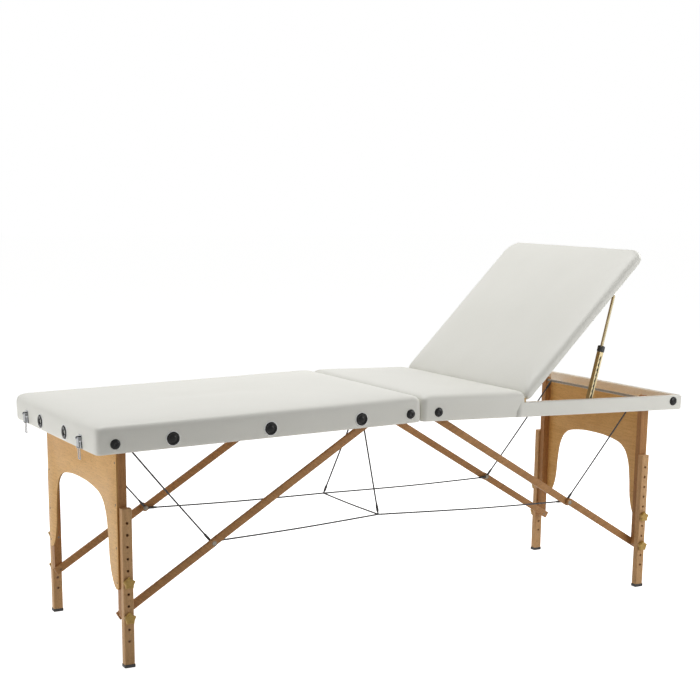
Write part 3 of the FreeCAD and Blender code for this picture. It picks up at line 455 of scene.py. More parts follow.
# Polyurethane leather: an even off-white with a low satin sheen and a fine embossed grain.
white_leather, leather_tree, leather_shader = new_finish("white polyurethane leather", Roughness=0.46, IOR=1.5)
leather_spot = place_on(leather_tree)
# Embossed leather grain is about a millimetre, and is drawn coarser here so that it shows.
pebbles = add(leather_tree, "ShaderNodeTexVoronoi",
              {"feature": "DISTANCE_TO_EDGE", "Scale": 1 / (GRAIN_MM * MM)}, {"Vector": leather_spot})
cloudy = add(leather_tree, "ShaderNodeTexNoise", {"Scale": 1 / (CLOUD_MM * MM), "Detail": 3.0},
             {"Vector": leather_spot})
leather_tone = add(leather_tree, "ShaderNodeMix",
                   {"data_type": "RGBA", 6: linear("#E5E4DC"), 7: linear("#EEEDE6")}, {0: cloudy.outputs["Fac"]})
# The hollows of the grain are painted a little darker: painted shade in its creases, on top of the bump.
painted_crease_shade = add(leather_tree, "ShaderNodeMapRange", {"From Max": 0.12, "To Min": 0.10, "To Max": 0.0},
             {"Value": pebbles.outputs["Distance"]})
leather_with_crease_shade = add(leather_tree, "ShaderNodeMix", {"data_type": "RGBA", 7: linear("#C9C8C2")},
                   {0: painted_crease_shade.outputs[0], 6: leather_tone.outputs[2]})
leather_tree.links.new(leather_with_crease_shade.outputs[2], leather_shader.inputs["Base Color"])
leather_gloss = add(leather_tree, "ShaderNodeMapRange", {"To Min": 0.40, "To Max": 0.54},
                    {"Value": cloudy.outputs["Fac"]})
leather_tree.links.new(leather_gloss.outputs[0], leather_shader.inputs["Roughness"])
leather_bump = add(leather_tree, "ShaderNodeBump", {"Strength": 0.12, "Distance": 0.25 * MM},
                   {"Height": pebbles.outputs["Distance"]})
leather_tree.links.new(leather_bump.outputs[0], leather_shader.inputs["Normal"])


def cover_outline(x0, x1, half_width, radius_low, radius_high):
    """Points round a rectangle with rounded corners, always as many, from the near low corner."""
    points = []

    def run(first, last, steps):
        for i in range(steps):
            share = i / steps
            points.append((first[0] + share * (last[0] - first[0]), first[1] + share * (last[1] - first[1])))

    def corner(cx, cy, radius, start):
        for i in range(CORNER_STEPS):
            turn = math.radians(start + 90 * i / CORNER_STEPS)
            points.append((cx + radius * math.cos(turn), cy + radius * math.sin(turn)))

    low, high = x0 + radius_low, x1 - radius_high
    run((low, -half_width), (high, -half_width), LONG_STEPS)
    corner(high, radius_high - half_width, radius_high, -90)
    run((x1, radius_high - half_width), (x1, half_width - radius_high), END_STEPS)
    corner(high, half_width - radius_high, radius_high, 0)
    run((high, half_width), (low, half_width), LONG_STEPS)
    corner(low, half_width - radius_low, radius_low, 90)
    run((x0, half_width - radius_low), (x0, radius_low - half_width), END_STEPS)
    corner(low, radius_low - half_width, radius_low, 180)
    return points


def fill_crown(made, ring):
    """Fills the innermost ring on top of the foam with a grid from its near side to its far side."""
    across = 2 * CORNER_STEPS + END_STEPS
    turn = LONG_STEPS + across
    columns = [[ring[-k] for k in range(across + 1)]]
    for i in range(LONG_STEPS + 1):
        near, far = ring[i], ring[turn + LONG_STEPS - i]
        inner = [made.verts.new(near.co.lerp(far.co, k / across)) for k in range(1, across)]
        columns.append([near] + inner + [far])
    columns.append([ring[LONG_STEPS + k] for k in range(across + 1)])
    for first, second in zip(columns, columns[1:]):
        for k in range(across):
            made.faces.new(list(dict.fromkeys((first[k], second[k], second[k + 1], first[k + 1]))))


# Corners get rounder towards the crown, and tighter on the flap inside the skirt.
FLAP_INSET = 20.0
CROWN_EASE = 0.1
CROWN_EASE_MOST = 12.0
LEAST_RADIUS = 3.0


def cover_mesh(name, span, profile, place, lift=None, slope=0.0):
    """A closed cover: (inset, height) rings from under the foam, round the outside, to the crown."""
    x0, x1, half_width, radius_low, radius_high = span
    base = profile[0][1]
    top = max(z for _, z in profile)
    made = bmesh.new()
    rings = []
    for inset, z in profile:
        lean = slope * min(1.0, max(0.0, (z - base) / (top - base))) if slope else 0.0
        ease = -inset if inset < FLAP_INSET and z < base else min(CROWN_EASE * inset, CROWN_EASE_MOST)
        outline = cover_outline(x0 + inset + lean, x1 - inset, half_width - inset,
                                max(radius_low + ease, LEAST_RADIUS), max(radius_high + ease, LEAST_RADIUS))
        rings.append([made.verts.new(place(x, y, lift(x, y, z) if lift else z)) for x, y in outline])
    for low, high in zip(rings, rings[1:]):
        count = len(low)
        for i in range(count):
            j = (i + 1) % count
            made.faces.new((low[i], low[j], high[j], high[i]))
    made.faces.new(rings[0])
    fill_crown(made, rings[-1])
    return finished_mesh(made, name)


SWELL_FRAMES = 12
SWELL_PRESSURE = 3.0
SWELL_LIMIT = 3.5
RIPPLE_MM = 0.5
RIPPLE_RUN_MM = 110.0


def swell(piece, free):
    """Lets the foam press its cover out by a few millimetres where it is free, as cloth under pressure."""
    mesh = piece.data
    start = [vertex.co.copy() for vertex in mesh.vertices]
    held = piece.vertex_groups.new(name="held")
    for vertex in mesh.vertices:
        held.add([vertex.index], 1.0 - free(vertex.co), "REPLACE")
    cloth = piece.modifiers.new("cover over foam", "CLOTH")
    settings = cloth.settings
    settings.quality = 5
    settings.use_pressure = True
    settings.uniform_pressure_force = SWELL_PRESSURE
    settings.vertex_group_mass = held.name
    settings.pin_stiffness = 1.0
    settings.tension_stiffness = 40.0
    settings.compression_stiffness = 40.0
    settings.bending_stiffness = 2.0
    settings.effector_weights.gravity = 0.0
    for number in range(1, SWELL_FRAMES + 1):
        scene.frame_set(number)
    shaped = piece.evaluated_get(bpy.context.evaluated_depsgraph_get()).data
    for vertex, was, now in zip(mesh.vertices, start, [v.co.copy() for v in shaped.vertices]):
        shift = now - was
        if shift.length > SWELL_LIMIT * MM:
            shift = shift * (SWELL_LIMIT * MM / shift.length)
        vertex.co = was + shift * free(was)
    piece.modifiers.remove(cloth)
    scene.frame_set(1)
    for vertex in mesh.vertices:
        ripple = noise.noise(vertex.co * (1 / (RIPPLE_RUN_MM * MM)))
        vertex.co += vertex.normal * (ripple * RIPPLE_MM * MM * free(vertex.co))
    piece.vertex_groups.remove(held)
    smooth = piece.modifiers.new("rounded cover", "SUBSURF")
    smooth.levels = 1
    smooth.render_levels = 1


FOOT_DECK_TOP = 55.0
SEAT_DECK_TOP = 53.0
SIDE_ROLL = ((0.0, 3.0), (-0.5, 14.0), (-0.9, 28.0), (-0.9, 42.0), (-0.5, 51.0), (0.5, 57.5), (2.8, 63.4),
             (7.0, 68.2), (13.5, 71.4), (22.0, 73.2))
CROWN_ROLL = ((38.0, 74.4), (66.0, 75.1), (110.0, 75.7), (170.0, 76.1), (230.0, 76.3), (275.0, 76.3))


def flap(deck_top):
    """The inside of a cover: under the foam, down inside the skirt and folded under the rail."""
    return ((275.0, deck_top + 0.1), (40.0, deck_top + 0.1), (2.1, deck_top + 0.1), (2.1, 30.0), (2.1, 0.0),
            (14.0, -0.1), (14.0, -1.1), (2.0, -1.2))


def free_above(side, level, margin=26.0):
    """How free the cover is at a point: held on the rails and decks, loose on top of the foam."""
    normal = half_normal(side)
    foot = on_half(side, 0, 0, 0)

    def share(point):
        height = (Vector(point) - foot).dot(normal) / MM
        return min(1.0, max(0.0, (height - level) / margin))

    return share


COVER_RADIUS = 16.0
SEAM_GAP = 1.0
HELD_LEVEL = 56.0
foot_span = (-HALF_LENGTH, -SEAM_GAP, HALF_WIDTH, COVER_RADIUS, COVER_RADIUS)
foot_cover = cover_mesh("foot_upholstery", foot_span, flap(FOOT_DECK_TOP) + SIDE_ROLL + CROWN_ROLL,
                        lambda x, y, z: on_half(FOOT, x, y, z))
foot_upholstery = mesh_piece("foot_upholstery", foot_cover, white_leather, "foot_half")
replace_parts(foot_upholstery, "foot_pad", "foot_rail_cover")
swell(foot_upholstery, free_above(FOOT, HELD_LEVEL))

SEAT_END = 349.0
SEAT_DECK_BOTTOM = 41.0
SEAT_SIDE_END = 322.0
SEAT_EDGE_STEP = 0.3
SEAT_CROWN = ((36.0, 74.3), (54.0, 75.0), (76.0, 75.6), (100.0, 76.0), (124.0, 76.2))
SEAT_FLAP = ((124.0, SEAT_DECK_TOP + 0.1), (40.0, SEAT_DECK_TOP + 0.1)) + flap(SEAT_DECK_TOP)[2:]


def seat_lift(x, y, z):
    """At the backrest end the cover stops under the seat deck, because nothing stands below it there."""
    return max(z, SEAT_DECK_BOTTOM + SEAT_EDGE_STEP * (z > 0)) if x > SEAT_SIDE_END else z


seat_span = (SEAM_GAP, SEAT_END, HALF_WIDTH, COVER_RADIUS, COVER_RADIUS)
seat_cover = cover_mesh("seat_upholstery", seat_span, SEAT_FLAP + SIDE_ROLL + SEAT_CROWN,
                        lambda x, y, z: on_half(HEAD, x, y, z), seat_lift)
seat_upholstery = mesh_piece("seat_upholstery", seat_cover, white_leather, "head_half")
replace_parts(seat_upholstery, "seat_pad")
swell(seat_upholstery, free_above(HEAD, HELD_LEVEL))

BACKREST_AXIS = (354.0, 44.0)
BACKREST_ANGLE = math.radians(45.0) + CAMBER
BACKREST_SPAN = (358.0, 933.0, 330.0, 16.0, 44.0)
BACK_ROLL = ((6.2, 54.1), (6.2, 42.0), (1.6, 42.0), (0.2, 43.6), (-0.4, 48.0), (-0.2, 54.0), (1.0, 59.0),
             (4.0, 64.0), (9.6, 68.6), (18.0, 71.4), (34.0, 73.2), (64.0, 74.8), (110.0, 76.0), (170.0, 76.8),
             (230.0, 77.0))
BACK_FLAP = ((230.0, 54.1), (40.0, 54.1))
BACK_SLOPE = 14.0
BACK_HELD = 57.0
BACK_MARGIN = 20.0


def on_backrest(x, y, z):
    """A point of the backrest as it is drawn flat, at its place with the backrest raised."""
    dx, dz = x - BACKREST_AXIS[0], z - BACKREST_AXIS[1]
    turned_x = BACKREST_AXIS[0] + dx * math.cos(BACKREST_ANGLE) - dz * math.sin(BACKREST_ANGLE)
    turned_z = BACKREST_AXIS[1] + dx * math.sin(BACKREST_ANGLE) + dz * math.cos(BACKREST_ANGLE)
    return on_half(HEAD, turned_x, y, turned_z)


def free_on_backrest(point):
    """The backrest's cover is held round the board and free on top of its foam."""
    foot = on_backrest(BACKREST_SPAN[0], 0, 0)
    normal = (on_backrest(BACKREST_SPAN[0], 0, 1000) - foot).normalized()
    return min(1.0, max(0.0, ((Vector(point) - foot).dot(normal) / MM - BACK_HELD) / BACK_MARGIN))


back_cover = cover_mesh("backrest_upholstery", BACKREST_SPAN, BACK_FLAP + BACK_ROLL, on_backrest,
                        slope=BACK_SLOPE)
backrest_upholstery = mesh_piece("backrest_upholstery", back_cover, white_leather, "backrest")
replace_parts(backrest_upholstery, "backrest_pad")
swell(backrest_upholstery, free_on_backrest)

# The head rails past the seat are wrapped in the same leather, turned over their top edge and under them.
WRAP_START = 316.0
WRAP_SECTION = ((2.05, 0.0), (2.05, 20.0), (2.05, 40.9), (11.0, 41.05), (11.0, 41.75), (2.2, 41.8), (0.5, 41.2),
                (-0.25, 38.5), (-0.45, 30.0), (-0.5, 18.0), (-0.4, 6.0), (0.0, 1.2), (1.0, -0.6), (2.6, -1.1),
                (14.0, -1.0), (14.0, -0.1))
WRAP_RADIUS = 14.0
WRAP_STEPS = 30


def wrap_route():
    """Points along the outside of the head rails with the direction that faces inwards."""
    route = []
    for i in range(WRAP_STEPS):
        x = WRAP_START + (HALF_LENGTH - WRAP_RADIUS - WRAP_START) * i / WRAP_STEPS
        route.append(((x, -HALF_WIDTH), (0, 1)))
    for i in range(CORNER_STEPS):
        turn = math.radians(-90 + 90 * i / CORNER_STEPS)
        cx, cy = HALF_LENGTH - WRAP_RADIUS, WRAP_RADIUS - HALF_WIDTH
        out = (math.cos(turn), math.sin(turn))
        route.append(((cx + WRAP_RADIUS * out[0], cy + WRAP_RADIUS * out[1]), (-out[0], -out[1])))
    for i in range(END_STEPS // 2 + 1):
        y = (WRAP_RADIUS - HALF_WIDTH) * (1 - 2 * i / END_STEPS)
        route.append(((HALF_LENGTH, y), (-1, 0)))
    return route + [((x, -y), (nx, -ny)) for (x, y), (nx, ny) in reversed(route[:-1])]


wrap_made = bmesh.new()
wrap_rings = []
for (px, py), (nx, ny) in wrap_route():
    wrap_rings.append([wrap_made.verts.new(on_half(HEAD, px + nx * inset, py + ny * inset, z))
                       for inset, z in WRAP_SECTION])
for ring, following in zip(wrap_rings, wrap_rings[1:]):
    for i in range(len(ring)):
        j = (i + 1) % len(ring)
        wrap_made.faces.new((ring[i], ring[j], following[j], following[i]))
wrap_made.faces.new(wrap_rings[0])
wrap_made.faces.new(list(reversed(wrap_rings[-1])))
head_rail_wrap = mesh_piece("head_rail_wrap", finished_mesh(wrap_made, "head_rail_wrap"), white_leather,
                            "head_half")
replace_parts(head_rail_wrap, "head_rail_cover")


# Leg frames: an arched panel of beech plywood screwed to two stained posts, with bolts for the knobs.
# The panel's face is clear lacquered, its edge shows the plies, and the posts are stained darker.

# Beech under clear lacquer is warm and golden with a low shine. Stain makes the posts browner.
leg_beech = wood("lacquered beech plywood", "#E6B978", "#CC9A58", "#946A38", GRAIN_Y, 5, 90, 0.44)
stained_upright = wood("stained beech uprights", "#B88652", "#98693E", "#5C381C", GRAIN_Z, 4, 22, 0.46)
PLY_MM = 1.25
leg_tree = leg_beech.node_tree
leg_shader = leg_tree.nodes["Principled BSDF"]
leg_place = add(leg_tree, "ShaderNodeTexCoord")
# The sawn edge shows pale and dark plies in turn, where the surface looks along the panel.
leg_facing = add(leg_tree, "ShaderNodeSeparateXYZ", None, {0: leg_place.outputs["Normal"]})
leg_edge = add(leg_tree, "ShaderNodeMath", {"operation": "COMPARE", 1: 0.0, 2: 0.5},
               {0: leg_facing.outputs["X"]})
ply_spot = add(leg_tree, "ShaderNodeSeparateXYZ", None, {0: leg_place.outputs["Object"]})
ply_turn = add(leg_tree, "ShaderNodeMath", {"operation": "PINGPONG", 1: PLY_MM * MM},
               {0: ply_spot.outputs["X"]})
ply_share = add(leg_tree, "ShaderNodeMapRange", {"From Min": 0.3 * PLY_MM * MM, "From Max": 0.7 * PLY_MM * MM},
                {"Value": ply_turn.outputs[0]})
ply_tone = add(leg_tree, "ShaderNodeMix", {"data_type": "RGBA", 6: linear("#C99A5C"), 7: linear("#9A6B38")},
               {0: ply_share.outputs[0]})
leg_tone = add(leg_tree, "ShaderNodeMix", {"data_type": "RGBA"},
               {0: leg_edge.outputs[0], 6: leg_shader.inputs["Base Color"].links[0].from_socket,
                7: ply_tone.outputs[2]})
leg_tree.links.new(leg_tone.outputs[2], leg_shader.inputs["Base Color"])
dress(stained_upright, "foot_posts", "head_posts")

# Half of the arch as (share of the half width between the feet, height), from the crown down to a foot.
ARCH = ((0.0, 449.0), (0.31, 447.0), (0.66, 436.0), (0.82, 418.0), (0.895, 397.0), (0.938, 375.0),
        (0.962, 352.0), (0.985, 320.0), (1.0, 286.0), (1.02, 263.0), (1.055, 241.0), (1.11, 220.0), (1.17, 207.0))
PANEL_TIP = ((0.25, 203.0), (0.5, 201.5), (0.75, 203.5), (1.0, 212.0))
PANEL_EDGE_Y = {FOOT: 277.5, HEAD: 256.5}
PANEL_FOOT_WIDTH = 65.0
PANEL_TOP = 583.0
PANEL_THICKNESS = 5.0
PANEL_FACE = {FOOT: -865.21, HEAD: 866.99}
CURVE_STEPS = 5


def smooth_through(points):
    """More points on a smooth curve through the given ones."""
    ends = [points[0]] + list(points) + [points[-1]]
    curve = []
    for a, b, c, d in zip(ends, ends[1:], ends[2:], ends[3:]):
        for i in range(CURVE_STEPS):
            t = i / CURVE_STEPS
            curve.append(tuple(0.5 * (2 * q + (r - p) * t + (2 * p - 5 * q + 4 * r - w) * t ** 2
                                      + (3 * q - p - 3 * r + w) * t ** 3) for p, q, r, w in zip(a, b, c, d)))
    return curve + [tuple(points[-1])]


def plate_mesh(name, corners, through, ease):
    """A flat plate of one outline with its sawn edges eased, from corners in mm and the way through it."""
    made = bmesh.new()
    front = made.faces.new([made.verts.new(Vector(corner) * MM) for corner in corners])
    grown = bmesh.ops.extrude_face_region(made, geom=[front])["geom"]
    moved = [item for item in grown if isinstance(item, bmesh.types.BMVert)]
    bmesh.ops.translate(made, verts=moved, vec=Vector(through) * MM)
    bmesh.ops.recalc_face_normals(made, faces=made.faces)
    large = sorted(made.faces, key=lambda face: face.calc_area())[-2:]
    rim = list(dict.fromkeys(edge for face in large for edge in face.edges))
    bmesh.ops.bevel(made, geom=rim, offset=ease * MM, segments=2, affect="EDGES", profile=0.5)
    return finished_mesh(made, name)


CRISP_ANGLE = math.radians(32)


def crisp(piece):
    """Keeps the corners of a flat piece sharp, with its rounded stretches smooth."""
    piece.data.set_sharp_from_angle(angle=CRISP_ANGLE)
    return piece


for side in (FOOT, HEAD):
    edge_y = PANEL_EDGE_Y[side]
    opening = edge_y - PANEL_FOOT_WIDTH
    half_curve = smooth_through([(share * opening, z) for share, z in ARCH])
    toe = half_curve[-1][0]
    half_curve += [(toe + share * (edge_y - toe), z) for share, z in PANEL_TIP]
    outline = half_curve + [(edge_y, PANEL_TOP), (-edge_y, PANEL_TOP)] + [(-y, z) for y, z in half_curve[:0:-1]]
    panel = plate_mesh(END[side] + "_arched_panel", [(PANEL_FACE[side], y, z) for y, z in outline],
                       (-side * PANEL_THICKNESS, 0, 0), ease=0.6)
    arched = mesh_piece(END[side] + "_arched_panel", panel, leg_beech, END[side] + "_leg")
    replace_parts(crisp(arched), END[side] + "_leg_panel")

# Zinc plate over steel: bright, nearly neutral and faintly cloudy from the bath.
zinc = mottled("bright zinc plated steel", "#A9A8A2", "#C9C9C6", 14, 4.0, (0.24, 0.42), Metallic=1.0)
dress(zinc, "foot_center_hinges", "head_center_hinges", "backrest_fittings")

# Hot dipped steel of the rods and brackets inside the frames: dull, darker and more matt than the plated parts.
dull_steel = mottled("dull galvanised steel", "#6E6860", "#8E877B", 9, 5.0, (0.45, 0.65), Metallic=1.0)
dress(dull_steel, "foot_frame_fittings", "head_frame_fittings", "foot_leg_bolts", "head_leg_bolts",
      "foot_elbow_bolts", "head_elbow_bolts")

SCREW_HEIGHTS = (532.0, 424.0, 312.0, 221.0)
SCREW_Y = {FOOT: 267.0, HEAD: 246.0}
SCREW_PROFILE = ((0, -0.7), (1.0, -0.7), (1.3, 0.15), (2.6, 0.12), (3.5, -0.05), (3.6, -0.9), (0, -0.9))


def joined_piece(name, meshes, material, body):
    """Small parts of one kind as one piece."""
    made = bmesh.new()
    for mesh in meshes:
        made.from_mesh(mesh)
        bpy.data.meshes.remove(mesh)
    return mesh_piece(name, finished_mesh(made, name), material, body)


# Dark wood screws, driven a little below the lacquer and blackened.
screw_steel = mottled("blackened wood screws", "#3A2C20", "#7A6650", 1.2, Metallic=0.8, Roughness=0.45)

for side in (FOOT, HEAD):
    heads = []
    for sign in (-1, 1):
        for height in SCREW_HEIGHTS:
            spot = Vector((PANEL_FACE[side], sign * SCREW_Y[side], height)) * MM
            heads.append(lathe_mesh("screw", SCREW_PROFILE, spot, (side, 0, 0), steps=16))
    joined_piece(END[side] + "_panel_screws", heads, screw_steel, END[side] + "_leg")


# Extension legs: square beech, drilled through for the knob bolts, with black rubber tips.
# Their outer corner is eased, and the lacquer is lighter than on the posts.

# Beech in a tan lacquer, with its short dark pores along the leg.
leg_tan = wood("tan beech extension legs", "#D6AC7C", "#BB9164", "#7C5632", GRAIN_Z, 4, 20, 0.46)
dress(leg_tan, *[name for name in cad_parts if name.startswith("extension_")])

# Moulded rubber: near black, matt, with a faint bloom.
rubber = mottled("black moulded rubber", "#0B0B0C", "#1D1D1E", 5, 5.0, (0.45, 0.65), IOR=1.52)
dress(rubber, *[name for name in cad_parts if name.startswith("foot_cap_")])


# Star knobs: five-pointed grips of light beech, shaped, lacquered and set on a threaded bolt.
# They clamp the extension legs to the posts.

# Lacquered beech of a golden tone, with a small figure and a little more shine.
knob_beech = wood("golden beech knobs", "#D4B064", "#AE8C4A", "#7E602A", GRAIN_Y, 3, 12, 0.40)
dress(knob_beech, *[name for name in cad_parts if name.startswith("knob_")])


# Braces: flat stained beech links, an upper and a lower one on each side, bolted at the elbow.
# Steel washers and nuts hold them, and the elbow carries the eyes of the cables.

BRACE_SLOPE = {FOOT: math.radians(31.7), HEAD: math.radians(31.2)}
FRAME_PIVOT = {FOOT: (-60.93, 618.58), HEAD: (60.71, 609.58)}
LEG_BOLT_Z = 133.0
UPPER_LINK_Y = {FOOT: (238.5, 247.5), HEAD: (217.5, 226.5)}
LOWER_LINK_Y = {FOOT: (247.9, 256.9), HEAD: (226.9, 235.9)}
LINK_STUB = 14.0
LINK_STEPS = 12
LINK_EDGES = {"upper": (9.4, 11.6), "lower": (12.6, 8.4)}


def link_outline(first, last, above, below, stub):
    """A bar between two pivots, wider above or below their line, round at its end and square at a stub."""
    run = Vector((last[0] - first[0], 0, last[1] - first[1])).normalized()
    up = Vector((-run.z, 0, run.x)) if run.x > 0 else Vector((run.z, 0, -run.x))
    a, b = Vector((first[0], 0, first[1])), Vector((last[0], 0, last[1]))
    middle, half = up * (above - below) / 2, (above + below) / 2
    points = []
    for centre, way, square in ((a, -run, stub), (b, run, 0)):
        if square:
            points += [centre + way * square + up * above, centre + way * square - up * below]
            continue
        arc = [centre + middle + (up * math.cos(t) + way * math.sin(t)) * half
               for t in (math.pi * i / LINK_STEPS for i in range(LINK_STEPS + 1))]
        points += arc if way == -run else arc[::-1]
    return points


# Stained beech: mid brown and satin, with the grain along each link.
for side in (FOOT, HEAD):
    grain = (0, side * BRACE_SLOPE[side], 0)
    link_beech = wood(END[side] + " braces in stained beech", "#C0905E", "#A07246", "#6A4628", grain,
                      4, 20, 0.46)
    leg_bolt = (LEG_ROD[side][0], LEG_BOLT_Z)
    for word, first, planes, stub in (("upper", FRAME_PIVOT[side], UPPER_LINK_Y[side], 0),
                                      ("lower", leg_bolt, LOWER_LINK_Y[side], LINK_STUB)):
        above, below = LINK_EDGES[word]
        outline = link_outline(first, ELBOW[side], above, below, stub)
        pair = []
        for sign in (-1, 1):
            corners = [(point.x, sign * planes[0], point.z) for point in outline]
            pair.append(plate_mesh("link", corners, (0, sign * (planes[1] - planes[0]), 0), ease=0.8))
        name = "%s_%s_links" % (END[side], word)
        links = joined_piece(name, pair, link_beech, "%s_%s_brace" % (END[side], word))
        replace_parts(crisp(links), "%s_%s_braces" % (END[side], word))

BOLT_FACE = ((0, -1.0), (6.5, -1.0), (6.5, 0.12), (4.6, 0.2), (4.4, 0.32), (2.0, 0.35), (0, 0.35))

for side in (FOOT, HEAD):
    faces = []
    for sign in (-1, 1):
        spot = Vector((ELBOW[side][0], sign * LOWER_LINK_Y[side][1], ELBOW[side][1])) * MM
        faces.append(lathe_mesh("bolt face", BOLT_FACE, spot, (0, sign, 0), steps=24))
    joined_piece(END[side] + "_elbow_bolt_faces", faces, dull_steel, END[side] + "_lower_brace")

EYE_TURNS = 28
EYE_SIDES = 8
EYE_RADIUS = 5.1
EYE_WIRE = 1.7


def ring_mesh(name, centre, radius, wire):
    """A round wire ring about the Y direction, in mm."""
    made = bmesh.new()
    loops = []
    for i in range(EYE_TURNS):
        turn = 2 * math.pi * i / EYE_TURNS
        out = Vector((math.cos(turn), 0, math.sin(turn)))
        loop = []
        for k in range(EYE_SIDES):
            tilt = 2 * math.pi * k / EYE_SIDES
            round_wire = out * (radius + wire * math.cos(tilt)) + Vector((0, wire * math.sin(tilt), 0))
            loop.append(made.verts.new((Vector(centre) + round_wire) * MM))
        loops.append(loop)
    for i in range(EYE_TURNS):
        low, high = loops[i], loops[(i + 1) % EYE_TURNS]
        for k in range(EYE_SIDES):
            following = (k + 1) % EYE_SIDES
            made.faces.new((low[k], low[following], high[following], high[k]))
    return finished_mesh(made, name)


for side in (FOOT, HEAD):
    rings = []
    for sign in (-1, 1):
        for y in (STAY_Y[side], LOWER_Y[side]):
            rings.append(ring_mesh("eye", (ELBOW[side][0], sign * y, ELBOW[side][1]), EYE_RADIUS, EYE_WIRE))
    joined_piece(END[side] + "_elbow_eyes", rings, dull_steel, END[side] + "_upper_brace")


# Ratchet struts: yellow passivated steel channels with a saw-toothed slot, black guides and sliding tubes.
# The channels are pinned to the head rails, the tubes to forks under the backrest's board.

# Yellow passivated zinc: a dull brass tone with faint swirls, between bright and matt.
yellow_zinc = mottled("yellow passivated zinc", "#867858", "#B2A686", 22, 3.0, (0.26, 0.44), 1.0, Metallic=1.0)
dress(yellow_zinc, "strut_channels", "strut_tubes")

STRUT_FOOT = (594.0, 15.0)
STRUT_HEAD = (790.0, 27.0)
STRUT_Y = 299.0
COLLAR_PROFILE = ((4.9, 164.8), (9.6, 164.8), (10.9, 166.2), (11.1, 168.0), (11.1, 179.4), (10.4, 182.2),
                  (8.6, 183.4), (4.9, 183.6), (4.9, 164.8))


def along_strut(sign, distance, rise=0.0, out=0.0):
    """A point by its distance up a strut from the foot pivot, its rise above that line, and sideways."""
    foot = on_half(HEAD, STRUT_FOOT[0], sign * STRUT_Y, STRUT_FOOT[1])
    run = (on_backrest(STRUT_HEAD[0], sign * STRUT_Y, STRUT_HEAD[1]) - foot).normalized()
    above = Vector((-run.z, 0, run.x))
    return foot + (run * distance + above * rise + Vector((0, out, 0))) * MM


# A thin black sheet inside each cheek of the channel is painted shade, so that the toothed slot shows dark as the
# shade inside the channel would.
SHADE_SHEET_START, SHADE_SHEET_END, SHADE_SHEET_HALF = 20.0, 160.0, 4.8
SHADE_SHEET_OUT = 5.5
SHADE_SHEET_THICKNESS = 0.4

shade_sheets = []
for sign in (-1, 1):
    for out in (-SHADE_SHEET_OUT, SHADE_SHEET_OUT):
        corners = [along_strut(sign, distance, rise, out) / MM
                   for distance, rise in ((SHADE_SHEET_START, -SHADE_SHEET_HALF), (SHADE_SHEET_END, -SHADE_SHEET_HALF),
                                          (SHADE_SHEET_END, SHADE_SHEET_HALF), (SHADE_SHEET_START, SHADE_SHEET_HALF))]
        shade_sheets.append(plate_mesh("shade_sheet", corners, (0, math.copysign(SHADE_SHEET_THICKNESS, out), 0), ease=0.1))
crisp(joined_piece("strut_shade_sheets", shade_sheets, sleeve_black, "strut_channel"))

collars = []
for sign in (-1, 1):
    start = along_strut(sign, 0)
    collars.append(lathe_mesh("collar", COLLAR_PROFILE, start, along_strut(sign, 100) - start, steps=24))
joined_piece("strut_collars", collars, sleeve_black, "strut_channel")


# Side fittings: black domed bumpers, plugs in the rail sockets and the headrest sockets, all moulded.
# The plugs and sockets sit in thin white plastic rings, pressed into the leather.

# Black plastic from a polished mould: deep black with a soft shine.
gloss_black = mottled("black moulded plastic", "#030304", "#0B0B0C", 2, 2.0, (0.16, 0.26), IOR=1.5,
                      Specular_IOR_Level=0.22)

BUMPER_X = {FOOT: (-885.0, -37.0), HEAD: (52.0, 895.0)}
PLUG_X = (-733.0, -461.0, -191.0)
FITTING_Z = 25.0
SOCKET_Y = 100.0
PLUG_RADIUS = 17.0
SOCKET_RADIUS = 18.0
BUMPER_PROFILE = ((0, 0), (13.0, 0), (13.0, 1.7), (12.4, 2.9), (10.6, 3.9), (7.8, 4.6), (5.3, 4.95), (4.3, 4.9),
                  (3.6, 4.3), (3.0, 4.0), (0, 3.9))
PLUG_PROFILE = ((0, -20.0), (9.0, -20.0), (9.0, 0), (PLUG_RADIUS, 0), (PLUG_RADIUS, 2.1), (16.5, 3.2),
                (15.6, 4.0), (14.4, 4.3), (13.2, 4.0), (12.3, 3.2), (11.7, 2.7), (9.9, 2.7), (9.2, 3.2),
                (8.0, 4.0), (6.0, 4.7), (3.4, 5.0), (0, 5.1))
SOCKET_PROFILE = ((6.5, -27.0), (9.0, -27.0), (9.0, 0), (SOCKET_RADIUS, 0), (SOCKET_RADIUS, 2.6), (17.3, 4.0),
                  (16.0, 4.8), (13.6, 5.0), (9.6, 4.2), (7.6, 3.4), (6.5, 2.2), (6.5, -27.0))


# Glossy white plastic of the rings, made brighter than the leather as a painted highlight round the plugs and
# sockets.
ring_white_and_painted_highlight = mottled("white plastic rings and painted highlight", "#F4F4F2", "#FAFAF9", 8, Roughness=0.3)


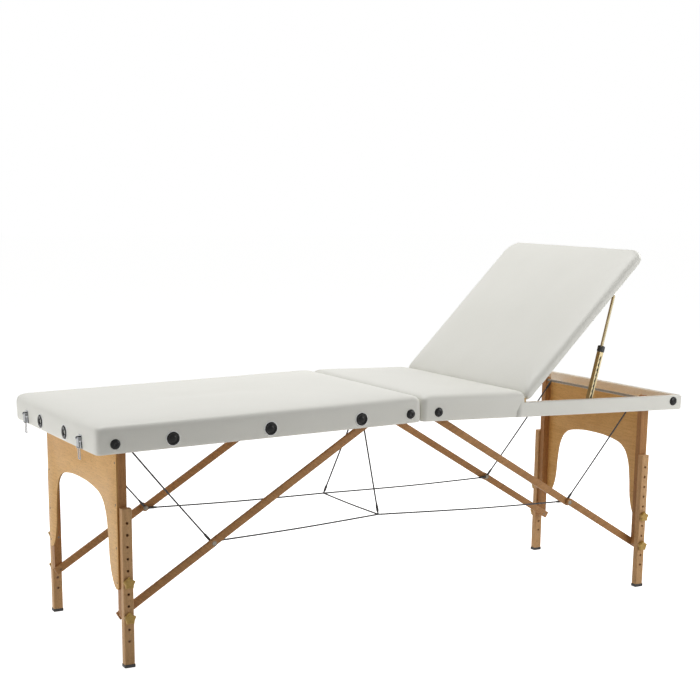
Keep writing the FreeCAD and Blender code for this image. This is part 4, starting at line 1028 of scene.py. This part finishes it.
def white_ring(radius, spot, out):
    ring = ((radius, 0), (radius + 2.6, 0), (radius + 2.7, 1.3), (radius + 2.3, 2.3), (radius + 1.4, 2.8),
            (radius + 0.5, 2.6), (radius, 2.2), (radius, 0))
    return lathe_mesh("ring", ring, spot, out, steps=32)


for side in (FOOT, HEAD):
    domes = []
    for x in BUMPER_X[side]:
        spot = on_half(side, x, -HALF_WIDTH, FITTING_Z)
        domes.append(lathe_mesh("bumper", BUMPER_PROFILE, spot, (0, -1, 0), steps=32))
    bumpers = joined_piece(END[side] + "_rubber_bumpers", domes, gloss_black, END[side] + "_half")
    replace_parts(bumpers, END[side] + "_bumpers")

plugs = []
rings = []
for x in PLUG_X:
    for sign in (-1, 1):
        spot = on_half(FOOT, x, sign * HALF_WIDTH, FITTING_Z)
        plugs.append(lathe_mesh("plug", PLUG_PROFILE, spot, (0, sign, 0), steps=32))
        rings.append(white_ring(PLUG_RADIUS, spot, (0, sign, 0)))
socket_plugs = joined_piece("socket_plugs", plugs, gloss_black, "foot_half")
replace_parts(socket_plugs, "side_socket_plugs")

sockets = []
foot_end = on_half(FOOT, -1, 0, 0) - on_half(FOOT, 0, 0, 0)
for sign in (-1, 1):
    spot = on_half(FOOT, -HALF_LENGTH, sign * SOCKET_Y, FITTING_Z)
    sockets.append(lathe_mesh("socket", SOCKET_PROFILE, spot, foot_end, steps=32))
    rings.append(white_ring(SOCKET_RADIUS, spot, foot_end))
peg_sockets = joined_piece("peg_sockets", sockets, gloss_black, "foot_half")
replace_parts(peg_sockets, "headrest_sockets")
joined_piece("fitting_rings", rings, ring_white_and_painted_highlight, "foot_half")


# Toggle latches: chromed steel bases, levers and wire loops on the foot end, with hooks on the head end.
# They are screwed to the end rails and hold the folded table shut. Scuffs make the chrome a little cloudy.

chrome = mottled("chromed steel", "#74767A", "#A3A5A8", 6, 5.0, (0.08, 0.22), Metallic=1.0)
dress(chrome, "latch_bases", "latch_keepers", *[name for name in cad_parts
                                                if name.startswith(("latch_lever", "latch_loop"))])
